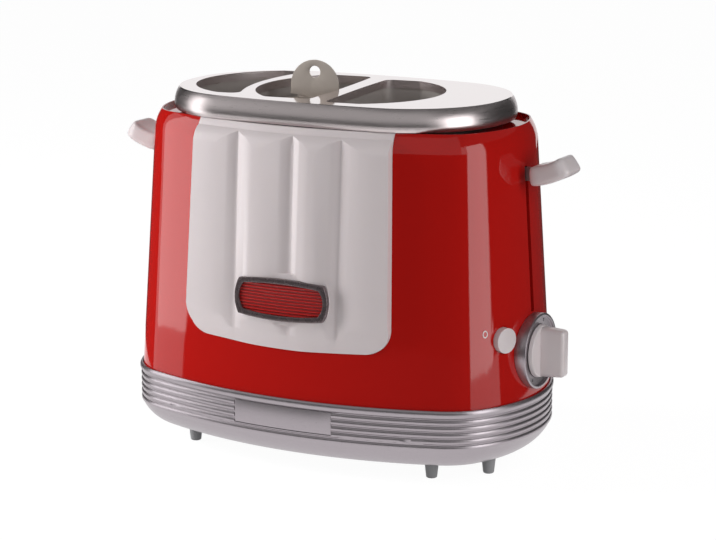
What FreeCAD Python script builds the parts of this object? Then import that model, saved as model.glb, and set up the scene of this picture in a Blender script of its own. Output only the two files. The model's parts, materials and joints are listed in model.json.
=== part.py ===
import FreeCAD, Part
import math
import os

import Sketcher

# Retro hot dog toaster: a ribbed silver base, a red leaning shell with a fluted cream front
# panel, a brushed steel cover with two bun slots round a lift-out sausage cage, a carriage
# worked by a lever at each end, a timer dial, a stop button and a crumb tray at the back.
# Millimetres, +Z up, front towards -Y, controls at +X, origin on the table under the centre.

V = FreeCAD.Vector

DIMENSIONS = {
    # plan of the base rim: a ring of tangent arcs (front, corner, end)
    "rim_half_x": (134.8, "half length of the base rim"),
    "rim_half_y": (84.4, "half depth of the base rim"),
    "rim_front_r": (281.5, "radius of the long front and back arcs"),
    "rim_end_r": (95.3, "radius of the end arcs"),
    "rim_corner_r": (45.5, "radius of the corner arcs"),
    # base
    "foot_height": (12, "floor to underside"),
    "foot_x": (84, "foot centre from the middle"),
    "foot_y": (43, "foot centre from the middle"),
    "foot_top_r": (7.5, "radius at the underside"),
    "foot_tip_r": (5.5, "radius on the table"),
    "end_foot_x": (110, "end foot centre from the middle"),
    "end_foot_y": (18, "end foot centre from the middle"),
    "skirt_top": (48.5, "top of the silver skirt"),
    "skirt_wall": (2.6, "wall of the skirt"),
    "bowl_top": (24, "where the smooth bowl starts under the ribs"),
    "bowl_tuck": (12.5, "how far the bowl tucks in at the underside"),
    "bowl_r": (26, "radius of the bowl in section"),
    "rib_pitch": (3.9, "spacing of the narrow ribs"),
    "rib_count": (5, "narrow ribs under the wide top rib"),
    "rib_round": (2.3, "radius of a rib in section"),
    "rib_valley": (1.1, "depth of the valley between ribs"),
    "rib_land": (0.5, "flat width of a valley"),
    "plate_thick": (2.4, "base plate"),
    "fit_gap": (0.3, "gap between fitted covers"),
    # shell
    "shell_inset": (1.7, "step from the rim in to the shell"),
    "shell_lean": (0.0655, "lean of the shell wall, mm per mm of height"),
    "shell_foot": (44, "bottom edge of the shell, inside the skirt"),
    "shell_bend": (198.5, "height where the shoulder begins"),
    "shell_top": (210.8, "lip at the top of the shoulder"),
    "shell_wall": (2.5, "wall of the shell"),
    "shoulder_r": (24, "radius of the shoulder in section"),
    "lip_land": (0.9, "width of the lip"),
    "deck_z": (208.2, "sunk deck inside the lip"),
    "deck_thick": (2.2, "thickness of the deck"),
    # cover
    "cover_half_x": (110, "half length of the steel cover"),
    "cover_half_y": (67.6, "half depth of the steel cover"),
    "cover_front_r": (540, "front arc of the cover"),
    "cover_end_r": (133, "end arc of the cover"),
    "cover_corner_r": (62, "corner arc of the cover"),
    "cover_low": (211.2, "bottom edge of the cover band"),
    "cover_top": (225, "flat top of the cover"),
    "cover_wide_z": (215, "height where the cover is widest"),
    "cover_edge_in": (3.4, "edge of the flat top, in from the widest"),
    "cover_tuck": (1.0, "how far the band tucks in at its bottom edge"),
    "sheet": (1.0, "sheet thickness of the cover"),
    "seat_inset": (9, "cover seat, in from the band"),
    "seat_wall": (2, "wall of the cover seat"),
    "collar_drop": (5, "depth of the collar turned down at each opening"),
    # the bank of three openings
    "bank_x": (-20.5, "centre of the sausage cage"),
    "bank_turn": (7, "turn of the bank about the vertical, degrees"),
    "bay_round": (6, "corner radius of the openings"),
    "bay_half": (52.2, "half depth of the openings"),
    "bun_width_left": (38.5, "left bun opening, across the middle"),
    "bun_width_right": (56, "right bun opening, across the middle"),
    "cage_left": (34, "cage opening, left of the bank centre"),
    "cage_right": (18.9, "cage opening, right of the bank centre"),
    "bar_left": (6, "bar between left bun opening and cage opening"),
    "bar_right": (10.3, "bar between cage opening and right bun opening"),
    "bun_bow": (28, "bow of the outer side of a bun opening"),
    "bar_bow": (7, "bow of the left bar"),
    "cage_bow": (19, "bow of the left side of the cage opening"),
    "liner_wall": (0.8, "chute liner sheet"),
    "liner_gap": (0.2, "collar to liner"),
    # inside frame
    "floor_z": (38, "underside of the chassis floor"),
    "post_x": (88, "chassis post from the middle"),
    "post_y": (28, "chassis post from the middle"),
    "post_r": (5, "chassis post"),
    "screw_r": (1.5, "screw shank"),
    "screw_head_r": (3.2, "screw head"),
    "screw_head": (1.4, "height of a screw head"),
    "screw_length": (12, "length of a screw under its head"),
    "floor_thick": (1.5, "chassis floor sheet"),
    "frame_sheet": (1.2, "end frame sheet"),
    "frame_left_x": (105.4, "web of the left end frame from the middle"),
    "frame_right_x": (84, "web of the right end frame from the middle"),
    "frame_half": (26, "half width of the end frames"),
    "frame_top": (192, "top of the end frames"),
    "frame_flange": (10.8, "depth of the end frame flanges"),
    "rod_r": (2, "guide rod radius"),
    "rod_y": (15, "guide rod behind the middle, spring in front"),
    "rod_out": (6.8, "guide rod axis outside the frame web"),
    # carriage, drawn at the top of its travel
    "travel": (75, "lever travel"),
    "rest_z": (128, "underside of the bun rests"),
    "rest_thick": (1.5, "rest sheet"),
    "bar_height": (10, "carriage bar"),
    "bar_thick": (3, "carriage bar"),
    "slot_clear": (1.0, "clearance beside the bar and the lever stems"),
    "arm_thick": (1.6, "carriage arm sheet"),
    "arm_gap": (1.6, "arm to frame web"),
    "arm_half": (9, "half width of a carriage arm"),
    "stem_height": (8, "lever stem strip"),
    "stem_z": (182.5, "middle of the lever stem"),
    "stem_grip": (8.5, "how far a stem reaches into its handle"),
    "slot_spare": (4.5, "lever slot under the lowered stem"),
    "bush_r": (4.4, "carriage bush radius"),
    "bush_length": (16, "carriage bush length"),
    "running": (0.06, "radial clearance of running fits"),
    "rest_clear": (2, "rest edge to liner"),
    # levers
    "lever_clear": (0.3, "lowered handle to the shell"),
    "lever_half_width": (12, "half width of a lever handle"),
    "lever_thick": (11, "thickness of a lever handle"),
    "lever_curve_r": (46, "curve of the handle centre line"),
    "lever_start": (85, "inner end of the curve, degrees under the horizontal"),
    "lever_stop": (58, "outer end of the curve, degrees under the horizontal"),
    "lever_nose": (6, "bow of the handle's outer end, seen from above"),
    "lever_round": (4, "edge rounding of a handle"),
    # sausage cage
    "sleeve_r": (18.5, "cage sleeve outside radius"),
    "sleeve_wall": (0.9, "cage sleeve sheet"),
    "sleeve_gap": (2, "between the two sleeves"),
    "sleeve_top": (218.5, "top rim of the sleeves"),
    "tab_width": (32, "lifting tab"),
    "tab_top": (241.5, "top of the lifting tab"),
    "tab_thick": (1.4, "lifting tab sheet"),
    "tab_hole_r": (3.7, "hole in the lifting tab"),
    # front panel and plates
    "panel_x": (0.6, "middle of the front panel"),
    "panel_half": (70, "half width of the front panel near the bottom"),
    "panel_taper": (3.2, "how much narrower each side is at the lip"),
    "panel_bottom": (78.2, "bottom edge of the front panel"),
    "panel_sag": (1.6, "bow of the bottom edge"),
    "panel_proud": (0.9, "panel face above the shell"),
    "panel_sunk": (1.2, "panel back below the shell's face"),
    "panel_round": (15, "bottom corner radius of the panel"),
    "flute_width": (35.3, "width of a flute"),
    "flute_rise": (4, "rise of a flute"),
    "flute_top": (207, "where the flutes close above"),
    "flute_end": (82, "where the flutes fade out below"),
    "flute_fade": (16, "height of the fade"),
    "badge_x": (2.3, "middle of the badge"),
    "badge_z": (108.8, "middle of the badge"),
    "badge_width": (63.6, "badge frame"),
    "badge_height": (25.2, "badge frame"),
    "badge_bow": (1.7, "bow of the long badge edges"),
    "badge_end_bow": (3, "bow of the badge ends"),
    "badge_proud": (6.2, "badge frame face above the shell"),
    "badge_seat": (3.2, "badge pad above the shell"),
    "badge_border": (3, "border of the badge frame"),
    "plate_x": (2.5, "middle of the name plate"),
    "plate_half": (33.5, "half width of the name plate"),
    "plate_low": (29, "bottom of the name plate"),
    "plate_high": (43.4, "top of the name plate"),
    "plate_depth": (2.6, "name plate seat, in from the rim"),
    "plate_proud": (1.9, "thickness of the name plate"),
    # controls
    "dial_z": (75.3, "dial centre"),
    "dial_r": (23, "dial ring radius"),
    "dial_proud": (4.55, "dial ring's front, out from the shell"),
    "dial_dish": (1.6, "sunk face of the dial ring"),
    "dial_border": (1.8, "raised border of the dial ring"),
    "dial_sleeve_r": (12, "sleeve of the dial ring through the shell"),
    "knob_r": (16.2, "knob disc radius"),
    "knob_disc": (3, "knob disc thickness"),
    "knob_grip": (9, "thickness of the knob grip"),
    "knob_length": (16.4, "end of the knob grip, out from the dial ring"),
    "shaft_r": (3, "timer shaft"),
    "timer_r": (17, "timer body"),
    "timer_depth": (15, "timer body"),
    "button_y": (-31, "stop button centre"),
    "button_z": (87.5, "stop button centre"),
    "button_turn": (19.5, "stop button faces this far round to the front, degrees"),
    "button_r": (7.6, "stop button"),
    "button_proud": (3.2, "stop button stands out of the shell"),
    "button_travel": (2, "stop button travel"),
    "side_gap": (0.3, "gap round the button and tray"),
    # tray
    "tray_half": (70, "half width of the crumb tray"),
    "tray_z": (18, "underside of the crumb tray"),
    "tray_height": (7, "crumb tray wall"),
    "tray_wall": (1, "crumb tray sheet"),
    "tray_front_in": (32.4, "front edge of the tray, in from the rim"),
    "tray_back_in": (22.4, "inside of the tray's end plate, in from the rim"),
    "tray_pull": (34, "width of the tray's pull"),
    "rail_width": (5, "tray rail"),
    # cord outlet
    "gland_in": (46.8, "cord outlet, in from the left end of the rim"),
    "gland_z": (29.5, "cord outlet"),
    "gland_r": (6, "cord outlet bush"),
    "gland_bore": (3.4, "cord outlet bore"),
    "gland_flange": (8, "cord outlet flange"),
    # heating and electrics
    "board_thick": (0.7, "mica board"),
    "board_gap": (0.5, "mica board to liner"),
    "board_half": (34, "half width of a mica board"),
    "board_low": (58, "bottom edge of the mica boards"),
    "board_high": (196, "top edge of the mica boards"),
    "wire_r": (0.5, "heating wire"),
    "wire_rows": (6, "passes of heating wire on a board"),
    "guard_rows": (4, "windows up a liner"),
    "magnet_r": (5.5, "latch magnet"),
    "magnet_x": (98.5, "latch magnet"),
    "magnet_y": (-6.5, "latch magnet"),
    "magnet_high": (58, "top of the latch magnet"),
    "circuit_width": (24, "control board"),
    "circuit_height": (62, "control board"),
    "circuit_low": (54, "bottom edge of the control board"),
    "terminal_in": (51.8, "terminal block, in from the left end of the rim"),
    "terminal_back": (24.5, "front of the terminal block, in from the back of the rim"),
    "terminal_length": (16, "terminal block"),
    "terminal_depth": (6, "terminal block"),
    "terminal_height": (10, "terminal block"),
    "housing_r": (10, "stop button housing"),
    "housing_depth": (15, "stop button housing"),
    "spring_r": (3.2, "lift spring"),
    "spring_wire": (0.55, "lift spring wire"),
    "spring_turns": (11, "lift spring coils"),
    "spring_y": (-15, "lift spring in front of the middle"),
    "spring_low": (150, "bottom coil of a lift spring, carriage raised"),
    "spring_high": (186, "top coil of a lift spring"),
}


class Size:
    """A value together with the sheet expression that gives it."""

    def __init__(self, text, value):
        self.text = text
        self.value = float(value)

    def mix(self, sign, other, value):
        return Size(f"({self.text} {sign} {other.text})", value)

    def __add__(self, other):
        other = as_size(other)
        return self.mix("+", other, self.value + other.value)

    __radd__ = __add__

    def __sub__(self, other):
        other = as_size(other)
        return self.mix("-", other, self.value - other.value)

    def __rsub__(self, other):
        return as_size(other) - self

    def __mul__(self, other):
        other = as_size(other)
        return self.mix("*", other, self.value * other.value)

    __rmul__ = __mul__

    def __truediv__(self, other):
        other = as_size(other)
        return self.mix("/", other, self.value / other.value)

    def __neg__(self):
        return Size(f"(0 - {self.text})", -self.value)


def as_size(value):
    return value if isinstance(value, Size) else Size(repr(float(value)), value)


def cosine(angle):
    return Size(f"cos({angle.text} * 1 deg)", math.cos(math.radians(angle.value)))


def sine(angle):
    return Size(f"sin({angle.text} * 1 deg)", math.sin(math.radians(angle.value)))


def root(size):
    return Size(f"sqrt({size.text})", math.sqrt(size.value))


def bow_radius(half_chord, bow):
    """Radius of the arc that rises by bow over twice half_chord."""
    return (half_chord * half_chord + bow * bow) / (bow * 2)


doc = FreeCAD.newDocument("hot_dog_toaster")
sheet = doc.addObject("Spreadsheet::Sheet", "Sizes")
for row, (alias, (number, note)) in enumerate(DIMENSIONS.items(), 1):
    sheet.set(f"A{row}", alias)
    sheet.set(f"B{row}", str(number))
    sheet.set(f"C{row}", note)
    sheet.setAlias(f"B{row}", alias)
doc.recompute()


class Sizes:
    """Reads a cell of the sheet by its alias."""

    def __getattr__(self, alias):
        return Size(f"Sizes.{alias}", float(sheet.get(alias)))


d = Sizes()
NODES = []

GLAND_X = d.gland_in - d.rim_half_x
TRAY_FRONT = d.rim_half_y - d.tray_front_in
TRAY_BACK = d.rim_half_y - d.tray_back_in


def node(obj, label):
    """Marks an object as a finished piece."""
    obj.Label = label
    NODES.append(obj)
    return obj


def bind(obj, **sizes):
    for prop, size in sizes.items():
        obj.setExpression(prop.replace("__", "."), as_size(size).text)
    return obj


# ---------------------------------------------------------------- sketches and features


def new_body(name):
    return doc.addObject("PartDesign::Body", name)


def new_sketch(body, name, role="XY_Plane", offset=0):
    """A sketch on one of the body's own origin planes, moved along its normal."""
    sketch = body.newObject("Sketcher::SketchObject", name)
    plane = next(f for f in body.Origin.OriginFeatures if f.Role == role)
    sketch.AttachmentSupport = (plane, "")
    sketch.MapMode = "FlatFace"
    bind(sketch, AttachmentOffset__Base__z=offset)
    return sketch


def dimension(sketch, kind, places, size):
    size = as_size(size)
    index = sketch.addConstraint(Sketcher.Constraint(kind, *places, size.value))
    sketch.setExpression(f"Constraints[{index}]", size.text)


def pin_point(sketch, geometry, end, x, y):
    """Fixes a point of the sketch at (x, y)."""
    for kind, axis, size in (("DistanceX", -2, as_size(x)), ("DistanceY", -1, as_size(y))):
        if size.text in ("0.0", "-0.0"):
            sketch.addConstraint(Sketcher.Constraint("PointOnObject", geometry, end, axis))
        else:
            dimension(sketch, kind, (-1, 1, geometry, end), size)


def arc_between(a, b, radius):
    """The short arc from a to b; a positive radius turns left, a negative one right."""
    half = math.hypot(b[0] - a[0], b[1] - a[1]) / 2
    lift = math.sqrt(max(radius * radius - half * half, 0)) * math.copysign(1, radius)
    ux, uy = (b[0] - a[0]) / (2 * half), (b[1] - a[1]) / (2 * half)
    cx, cy = (a[0] + b[0]) / 2 - uy * lift, (a[1] + b[1]) / 2 + ux * lift
    first, last = (a, b) if radius > 0 else (b, a)
    start = math.atan2(first[1] - cy, first[0] - cx)
    stop = math.atan2(last[1] - cy, last[0] - cx)
    if stop < start:
        stop += 2 * math.pi
    return Part.ArcOfCircle(Part.Circle(V(cx, cy, 0), V(0, 0, 1), abs(radius)), start, stop)


def outline(sketch, points):
    """Closed outline. A point is (x, y) or (x, y, radius of the arc that leaves it)."""
    corners = [tuple(as_size(v) for v in point) for point in points]
    ends = []
    for index, corner in enumerate(corners):
        following = corners[(index + 1) % len(corners)]
        a = (corner[0].value, corner[1].value)
        b = (following[0].value, following[1].value)
        if len(corner) == 2:
            edge = Part.LineSegment(V(*a, 0), V(*b, 0))
            ends.append((sketch.addGeometry(edge, False), 1, 2))
        else:
            radius = corner[2]
            edge = sketch.addGeometry(arc_between(a, b, radius.value), False)
            dimension(sketch, "Radius", (edge,), radius if radius.value > 0 else -radius)
            ends.append((edge, 1, 2) if radius.value > 0 else (edge, 2, 1))
    for index, (edge, _, last) in enumerate(ends):
        other, first, _ = ends[(index + 1) % len(ends)]
        sketch.addConstraint(Sketcher.Constraint("Coincident", edge, last, other, first))
    for (edge, first, _), corner in zip(ends, corners):
        pin_point(sketch, edge, first, corner[0], corner[1])
    return sketch


def circle(sketch, x, y, radius):
    ring = Part.Circle(V(as_size(x).value, as_size(y).value, 0), V(0, 0, 1), radius.value)
    edge = sketch.addGeometry(ring, False)
    pin_point(sketch, edge, 3, x, y)
    dimension(sketch, "Radius", (edge,), radius)
    return sketch


def rectangle(sketch, left, low, right, high):
    return outline(sketch, [(left, low), (right, low), (right, high), (left, high)])


class Oval:
    """Plan outline of eight tangent arcs; an inset one keeps the same arc centres."""

    def __init__(self, half_x, half_y, front_r, end_r, corner_r):
        self.sizes = (half_x, half_y, front_r, end_r, corner_r)

    def inset(self, distance):
        return Oval(*(size - distance for size in self.sizes))


RIM = Oval(d.rim_half_x, d.rim_half_y, d.rim_front_r, d.rim_end_r, d.rim_corner_r)
COVER = Oval(
    d.cover_half_x, d.cover_half_y, d.cover_front_r, d.cover_end_r, d.cover_corner_r
)


def oval(sketch, shape):
    """Draws an Oval: nine arcs, because the first end arc starts on the X axis."""
    half_x, half_y, front_r, end_r, corner_r = (size.value for size in shape.sizes)
    end_x = half_x - end_r
    back_y = half_y - front_r
    reach_end = end_r - corner_r
    reach_back = front_r - corner_r
    apart = math.hypot(end_x, back_y)
    along = (reach_end**2 - reach_back**2 + apart**2) / (2 * apart)
    across = math.sqrt(reach_end**2 - along**2)
    ux, uy = -end_x / apart, back_y / apart
    corner = max(
        ((end_x + along * ux - side * across * uy, along * uy + side * across * ux)
         for side in (1, -1)),
        key=sum,
    )
    low = math.atan2(corner[1], corner[0] - end_x)
    high = math.atan2(corner[1] - back_y, corner[0])
    turn = math.pi
    cx, cy = corner
    arcs = [
        (end_x, 0, end_r, 0, low),
        (cx, cy, corner_r, low, high),
        (0, back_y, front_r, high, turn - high),
        (-cx, cy, corner_r, turn - high, turn - low),
        (-end_x, 0, end_r, turn - low, turn + low),
        (-cx, -cy, corner_r, turn + low, turn + high),
        (0, -back_y, front_r, turn + high, 2 * turn - high),
        (cx, -cy, corner_r, 2 * turn - high, 2 * turn - low),
        (end_x, 0, end_r, 2 * turn - low, 2 * turn),
    ]
    edges = [
        sketch.addGeometry(
            Part.ArcOfCircle(Part.Circle(V(x, y, 0), V(0, 0, 1), r), a, b), False
        )
        for x, y, r, a, b in arcs
    ]

    def hold(*constraint):
        sketch.addConstraint(Sketcher.Constraint(*constraint))

    for index, edge in enumerate(edges):
        hold("Tangent", edge, 2, edges[(index + 1) % 9], 1)
    hold("PointOnObject", edges[0], 3, -1)
    hold("PointOnObject", edges[2], 3, -2)
    hold("PointOnObject", edges[0], 1, -1)
    hold("Equal", edges[0], edges[4])
    hold("Equal", edges[0], edges[8])
    hold("Equal", edges[2], edges[6])
    for index in (3, 5, 7):
        hold("Equal", edges[1], edges[index])
    hold("Symmetric", edges[0], 3, edges[4], 3, -1, 1)
    hold("Symmetric", edges[2], 3, edges[6], 3, -1, 1)
    dimension(sketch, "Radius", (edges[0],), shape.sizes[3])
    dimension(sketch, "Radius", (edges[2],), shape.sizes[2])
    dimension(sketch, "Radius", (edges[1],), shape.sizes[4])
    dimension(sketch, "DistanceX", (-1, 1, edges[0], 1), shape.sizes[0])
    dimension(sketch, "DistanceY", (edges[2], 3, -1, 1), shape.sizes[2] - shape.sizes[1])
    return sketch


def oval_sketch(body, name, shape, height):
    return oval(new_sketch(body, name, "XY_Plane", height), shape)


def feature(body, kind, name, **props):
    made = body.newObject(f"PartDesign::{kind}", name)
    for prop, value in props.items():
        if isinstance(value, Size):
            bind(made, **{prop: value})
        else:
            setattr(made, prop, value)
    return made


def pad(body, name, sketch, length, **props):
    return feature(body, "Pad", name, Profile=sketch, Length=as_size(length), **props)


def pocket(body, name, sketch, length, **props):
    return feature(body, "Pocket", name, Profile=sketch, Length=as_size(length), **props)


def pipe(body, name, spine, profile):
    return feature(body, "AdditivePipe", name, Profile=profile, Spine=spine)


def revolve(body, name, sketch, axis="V_Axis"):
    return feature(
        body, "Revolution", name, Profile=sketch, ReferenceAxis=(sketch, [axis]), Angle=360.0
    )


def fillet(body, name, base, edges, radius):
    doc.recompute()
    found = [
        f"Edge{i}" for i, edge in enumerate(base.Shape.Edges, 1) if edges(edge.BoundBox)
    ]
    return feature(body, "Fillet", name, Base=(base, found), Radius=as_size(radius))


# ---------------------------------------------------------------- primitives and booleans


def box(name, x, y, z, length, width, height):
    """A block from its low corner."""
    return bind(
        doc.addObject("Part::Box", name),
        Length=length, Width=width, Height=height,
        Placement__Base__x=x, Placement__Base__y=y, Placement__Base__z=z,
    )


TURNS = {
    "z": FreeCAD.Rotation(),
    "x": FreeCAD.Rotation(V(0, 1, 0), 90),
    "y": FreeCAD.Rotation(V(1, 0, 0), -90),
}


def cylinder(name, x, y, z, radius, height, along="z"):
    """A round bar from the centre of its low end, along +x, +y or +z."""
    bar = doc.addObject("Part::Cylinder", name)
    bar.Placement = FreeCAD.Placement(V(), TURNS[along])
    return bind(
        bar, Radius=radius, Height=height,
        Placement__Base__x=x, Placement__Base__y=y, Placement__Base__z=z,
    )


def tube(name, x, y, z, radius, bore, height, along="z"):
    outer = cylinder(name + "_outside", x, y, z, radius, height, along)
    inner = cylinder(name + "_bore", x, y, z, bore, height, along)
    return cut(name, outer, inner)


def fuse(name, *shapes):
    made = doc.addObject("Part::MultiFuse", name)
    made.Shapes = list(shapes)
    made.Refine = True
    return made


def cut(name, base, *tools):
    made = doc.addObject("Part::Cut", name)
    made.Base = base
    made.Tool = tools[0] if len(tools) == 1 else fuse(name + "_tools", *tools)
    made.Refine = True
    return made


def common(name, *shapes):
    made = doc.addObject("Part::MultiCommon", name)
    made.Shapes = list(shapes)
    made.Refine = True
    return made


def group(name, *shapes):
    """Separate solids kept in one node."""
    made = doc.addObject("Part::Compound", name)
    made.Links = list(shapes)
    return made


BANK = FreeCAD.Placement(
    V(d.bank_x.value, 0, 0), FreeCAD.Rotation(V(0, 0, 1), d.bank_turn.value)
)


def in_bank(shape):
    """Turns a piece drawn about the bank's centre into the toaster."""
    shape.Placement = BANK.multiply(shape.Placement)
    for axis in "xyz":
        shape.setExpression(f"Placement.Base.{axis}", None)
    return shape


# ---------------------------------------------------------------- the outer surfaces


def wall_x(height, proud=0):
    """The shell's outside at a height, at the +X end, moved out by proud."""
    return d.rim_half_x - d.shell_inset - (height - d.shell_foot) * d.shell_lean + proud


DIAL_FACE = wall_x(d.dial_z) + d.dial_proud
KNOB_END = DIAL_FACE + d.knob_length
LEVER_END = wall_x(d.stem_z - d.travel - d.lever_thick / 2) + d.lever_clear


def lip_x(proud=0):
    """Where the shoulder reaches the lip, moved out by proud."""
    radius = d.shoulder_r + proud
    rise = d.shell_top - d.shell_bend + d.shoulder_r * d.shell_lean
    return wall_x(d.shell_bend) - d.shoulder_r + root(radius * radius - rise * rise)


def wall_ring(name, outer, inner, low=None):
    """Ring between two surfaces that follow the shell's wall and shoulder."""
    low = d.skirt_top if low is None else low
    bend, lip = d.shell_bend, d.shell_top
    body = new_body(name)
    spine = oval_sketch(body, name + "_spine", RIM, low)
    profile = outline(
        new_sketch(body, name + "_profile", "XZ_Plane"),
        [
            (wall_x(low, outer), low),
            (wall_x(bend, outer), bend, d.shoulder_r + outer),
            (lip_x(outer), lip),
            (lip_x(inner), lip, -(d.shoulder_r + inner)),
            (wall_x(bend, inner), bend),
            (wall_x(low, inner), low),
        ],
    )
    pipe(body, name + "_pipe", spine, profile)
    return body


def wall_block(name):
    """Solid inside the shell's outside surface, from the skirt to the shoulder."""
    body = new_body(name)
    low, high = d.skirt_top, d.shell_bend
    ends = [
        oval_sketch(body, f"{name}_{end}", RIM.inset(d.rim_half_x - wall_x(height)), height)
        for end, height in (("low", low), ("high", high))
    ]
    feature(body, "AdditiveLoft", name + "_loft", Profile=ends[0], Sections=ends[1:], Ruled=True)
    return body


def upright_block(name, shape, low, high):
    body = new_body(name)
    pad(body, name + "_pad", oval_sketch(body, name + "_plan", shape, low), high - low)
    return body


def upright_prism(name, points, back=False):
    """Prism through the front half or the back half, from an outline in the XZ plane."""
    body = new_body(name)
    sketch = outline(new_sketch(body, name + "_outline", "XZ_Plane"), points)
    pad(body, name + "_pad", sketch, d.rim_half_y + d.badge_proud, Reversed=back)
    return body


def upright_rectangle(name, left, low, right, high, back=False):
    return upright_prism(name, [(left, low), (right, low), (right, high), (left, high)], back)


def skirt_wall():
    """The whole base wall: a smooth bowl, narrow ribs and a wide rim."""
    body = new_body("skirt_wall")
    spine = oval_sketch(body, "skirt_spine", RIM, d.skirt_top)
    x = d.rim_half_x
    valley = x - d.rib_valley
    bowl_edge = x - d.bowl_tuck
    underside = d.foot_height
    mouth = x - d.shell_inset + d.fit_gap / 2
    inner = x - d.rib_valley - d.skirt_wall
    ledge = mouth - d.shell_wall - d.fit_gap
    ledge_low = d.shell_foot - d.skirt_wall - (inner - ledge)
    points = [(bowl_edge, underside, d.bowl_r)]
    low = d.bowl_top
    for _ in range(int(d.rib_count.value)):
        points.append((valley, low, d.rib_round))
        points.append((valley, low + d.rib_pitch - d.rib_land))
        low = low + d.rib_pitch
    points += [
        (valley, low, d.rib_pitch * 0.9),
        (x - d.rib_land, d.skirt_top),
        (mouth, d.skirt_top),
        (mouth, d.shell_foot),
        (ledge, d.shell_foot),
        (inner, ledge_low),
        (inner, d.bowl_top, -(d.bowl_r - d.skirt_wall)),
        (bowl_edge - d.skirt_wall / 2, underside + d.plate_thick),
        (bowl_edge - d.skirt_wall, underside + d.plate_thick),
        (bowl_edge - d.skirt_wall, underside),
    ]
    profile = outline(new_sketch(body, "skirt_profile", "XZ_Plane"), points)
    pipe(body, "skirt_pipe", spine, profile)
    return body


def tray_door(name, gap):
    """The way out of the crumb tray, grown by gap."""
    return upright_rectangle(
        name, -d.tray_half - gap, d.tray_z - gap, d.tray_half + gap,
        d.tray_z + d.tray_height + gap, back=True,
    )


def plate_prism(name, gap):
    """The name plate's outline, drawn in by gap."""
    return upright_rectangle(
        name, d.plate_x - d.plate_half + gap, d.plate_low + gap,
        d.plate_x + d.plate_half - gap, d.plate_high - gap,
    )


def rim_block(name, inset):
    """Solid inside the rim's outline, drawn in by inset."""
    return upright_block(name, RIM.inset(inset), d.foot_height, d.skirt_top)


def base_skirt(wall):
    seat = cut("plate_seat", plate_prism("seat_prism", 0), rim_block("seat_back", d.plate_depth))
    outlet = cylinder("outlet", GLAND_X, 0, d.gland_z, d.gland_r, d.rim_half_y, "y")
    door = tray_door("tray_door", d.side_gap)
    return node(cut("base_skirt", wall, seat, outlet, door), "base_skirt")


def base_plate():
    body = new_body("plate_sheet")
    edge = RIM.inset(d.bowl_tuck + d.skirt_wall + d.fit_gap)
    pad(body, "plate", oval_sketch(body, "plate_plan", edge, d.foot_height), d.plate_thick)
    vent = new_sketch(body, "vent_outline", "XY_Plane", d.foot_height + d.plate_thick)
    rectangle(vent, -d.foot_x / 2, -2, -d.foot_x / 6, 2)
    slot = pocket(body, "vent", vent, d.plate_thick)
    doc.recompute()
    row = feature(
        body, "LinearPattern", "vents", Originals=[slot], Direction=(vent, ["V_Axis"]),
        Length=d.foot_y, Occurrences=5,
    )
    body.Tip = row
    holes = [
        cylinder(f"plate_hole_{i}", x, y, d.foot_height, d.screw_r + d.fit_gap, d.plate_thick)
        for i, (x, y) in enumerate(four(d.post_x, d.post_y))
    ]
    return node(cut("base_plate", body, *holes), "base_plate")


def four(x, y):
    """The four mirrored places of (x, y)."""
    return [(x * sx, y * sy) for sx in (-1, 1) for sy in (-1, 1)]


def feet():
    made = []
    for x, y in four(d.foot_x, d.foot_y) + four(d.end_foot_x, d.end_foot_y):
        made.append(
            bind(
                doc.addObject("Part::Cone", f"foot_{len(made) + 1}"),
                Radius1=d.foot_tip_r, Radius2=d.foot_top_r, Height=d.foot_height,
                Placement__Base__x=x, Placement__Base__y=y,
            )
        )
    return node(group("feet", *made), "feet")


def chassis_posts():
    low = d.foot_height + d.plate_thick
    made = [
        tube(f"post_{i}", x, y, low, d.post_r, d.screw_r, d.floor_z - low)
        for i, (x, y) in enumerate(four(d.post_x, d.post_y))
    ]
    return node(group("chassis_posts", *made), "chassis_posts")


def base_screws():
    made = []
    for i, (x, y) in enumerate(four(d.post_x, d.post_y)):
        low = d.foot_height - d.screw_head
        shank = cylinder(f"shank_{i}", x, y, low, d.screw_r, d.screw_head + d.screw_length)
        head = cylinder(f"head_{i}", x, y, low, d.screw_head_r, d.screw_head)
        made.append(fuse(f"screw_{i}", shank, head))
    return node(group("base_screws", *made), "base_screws")


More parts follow.
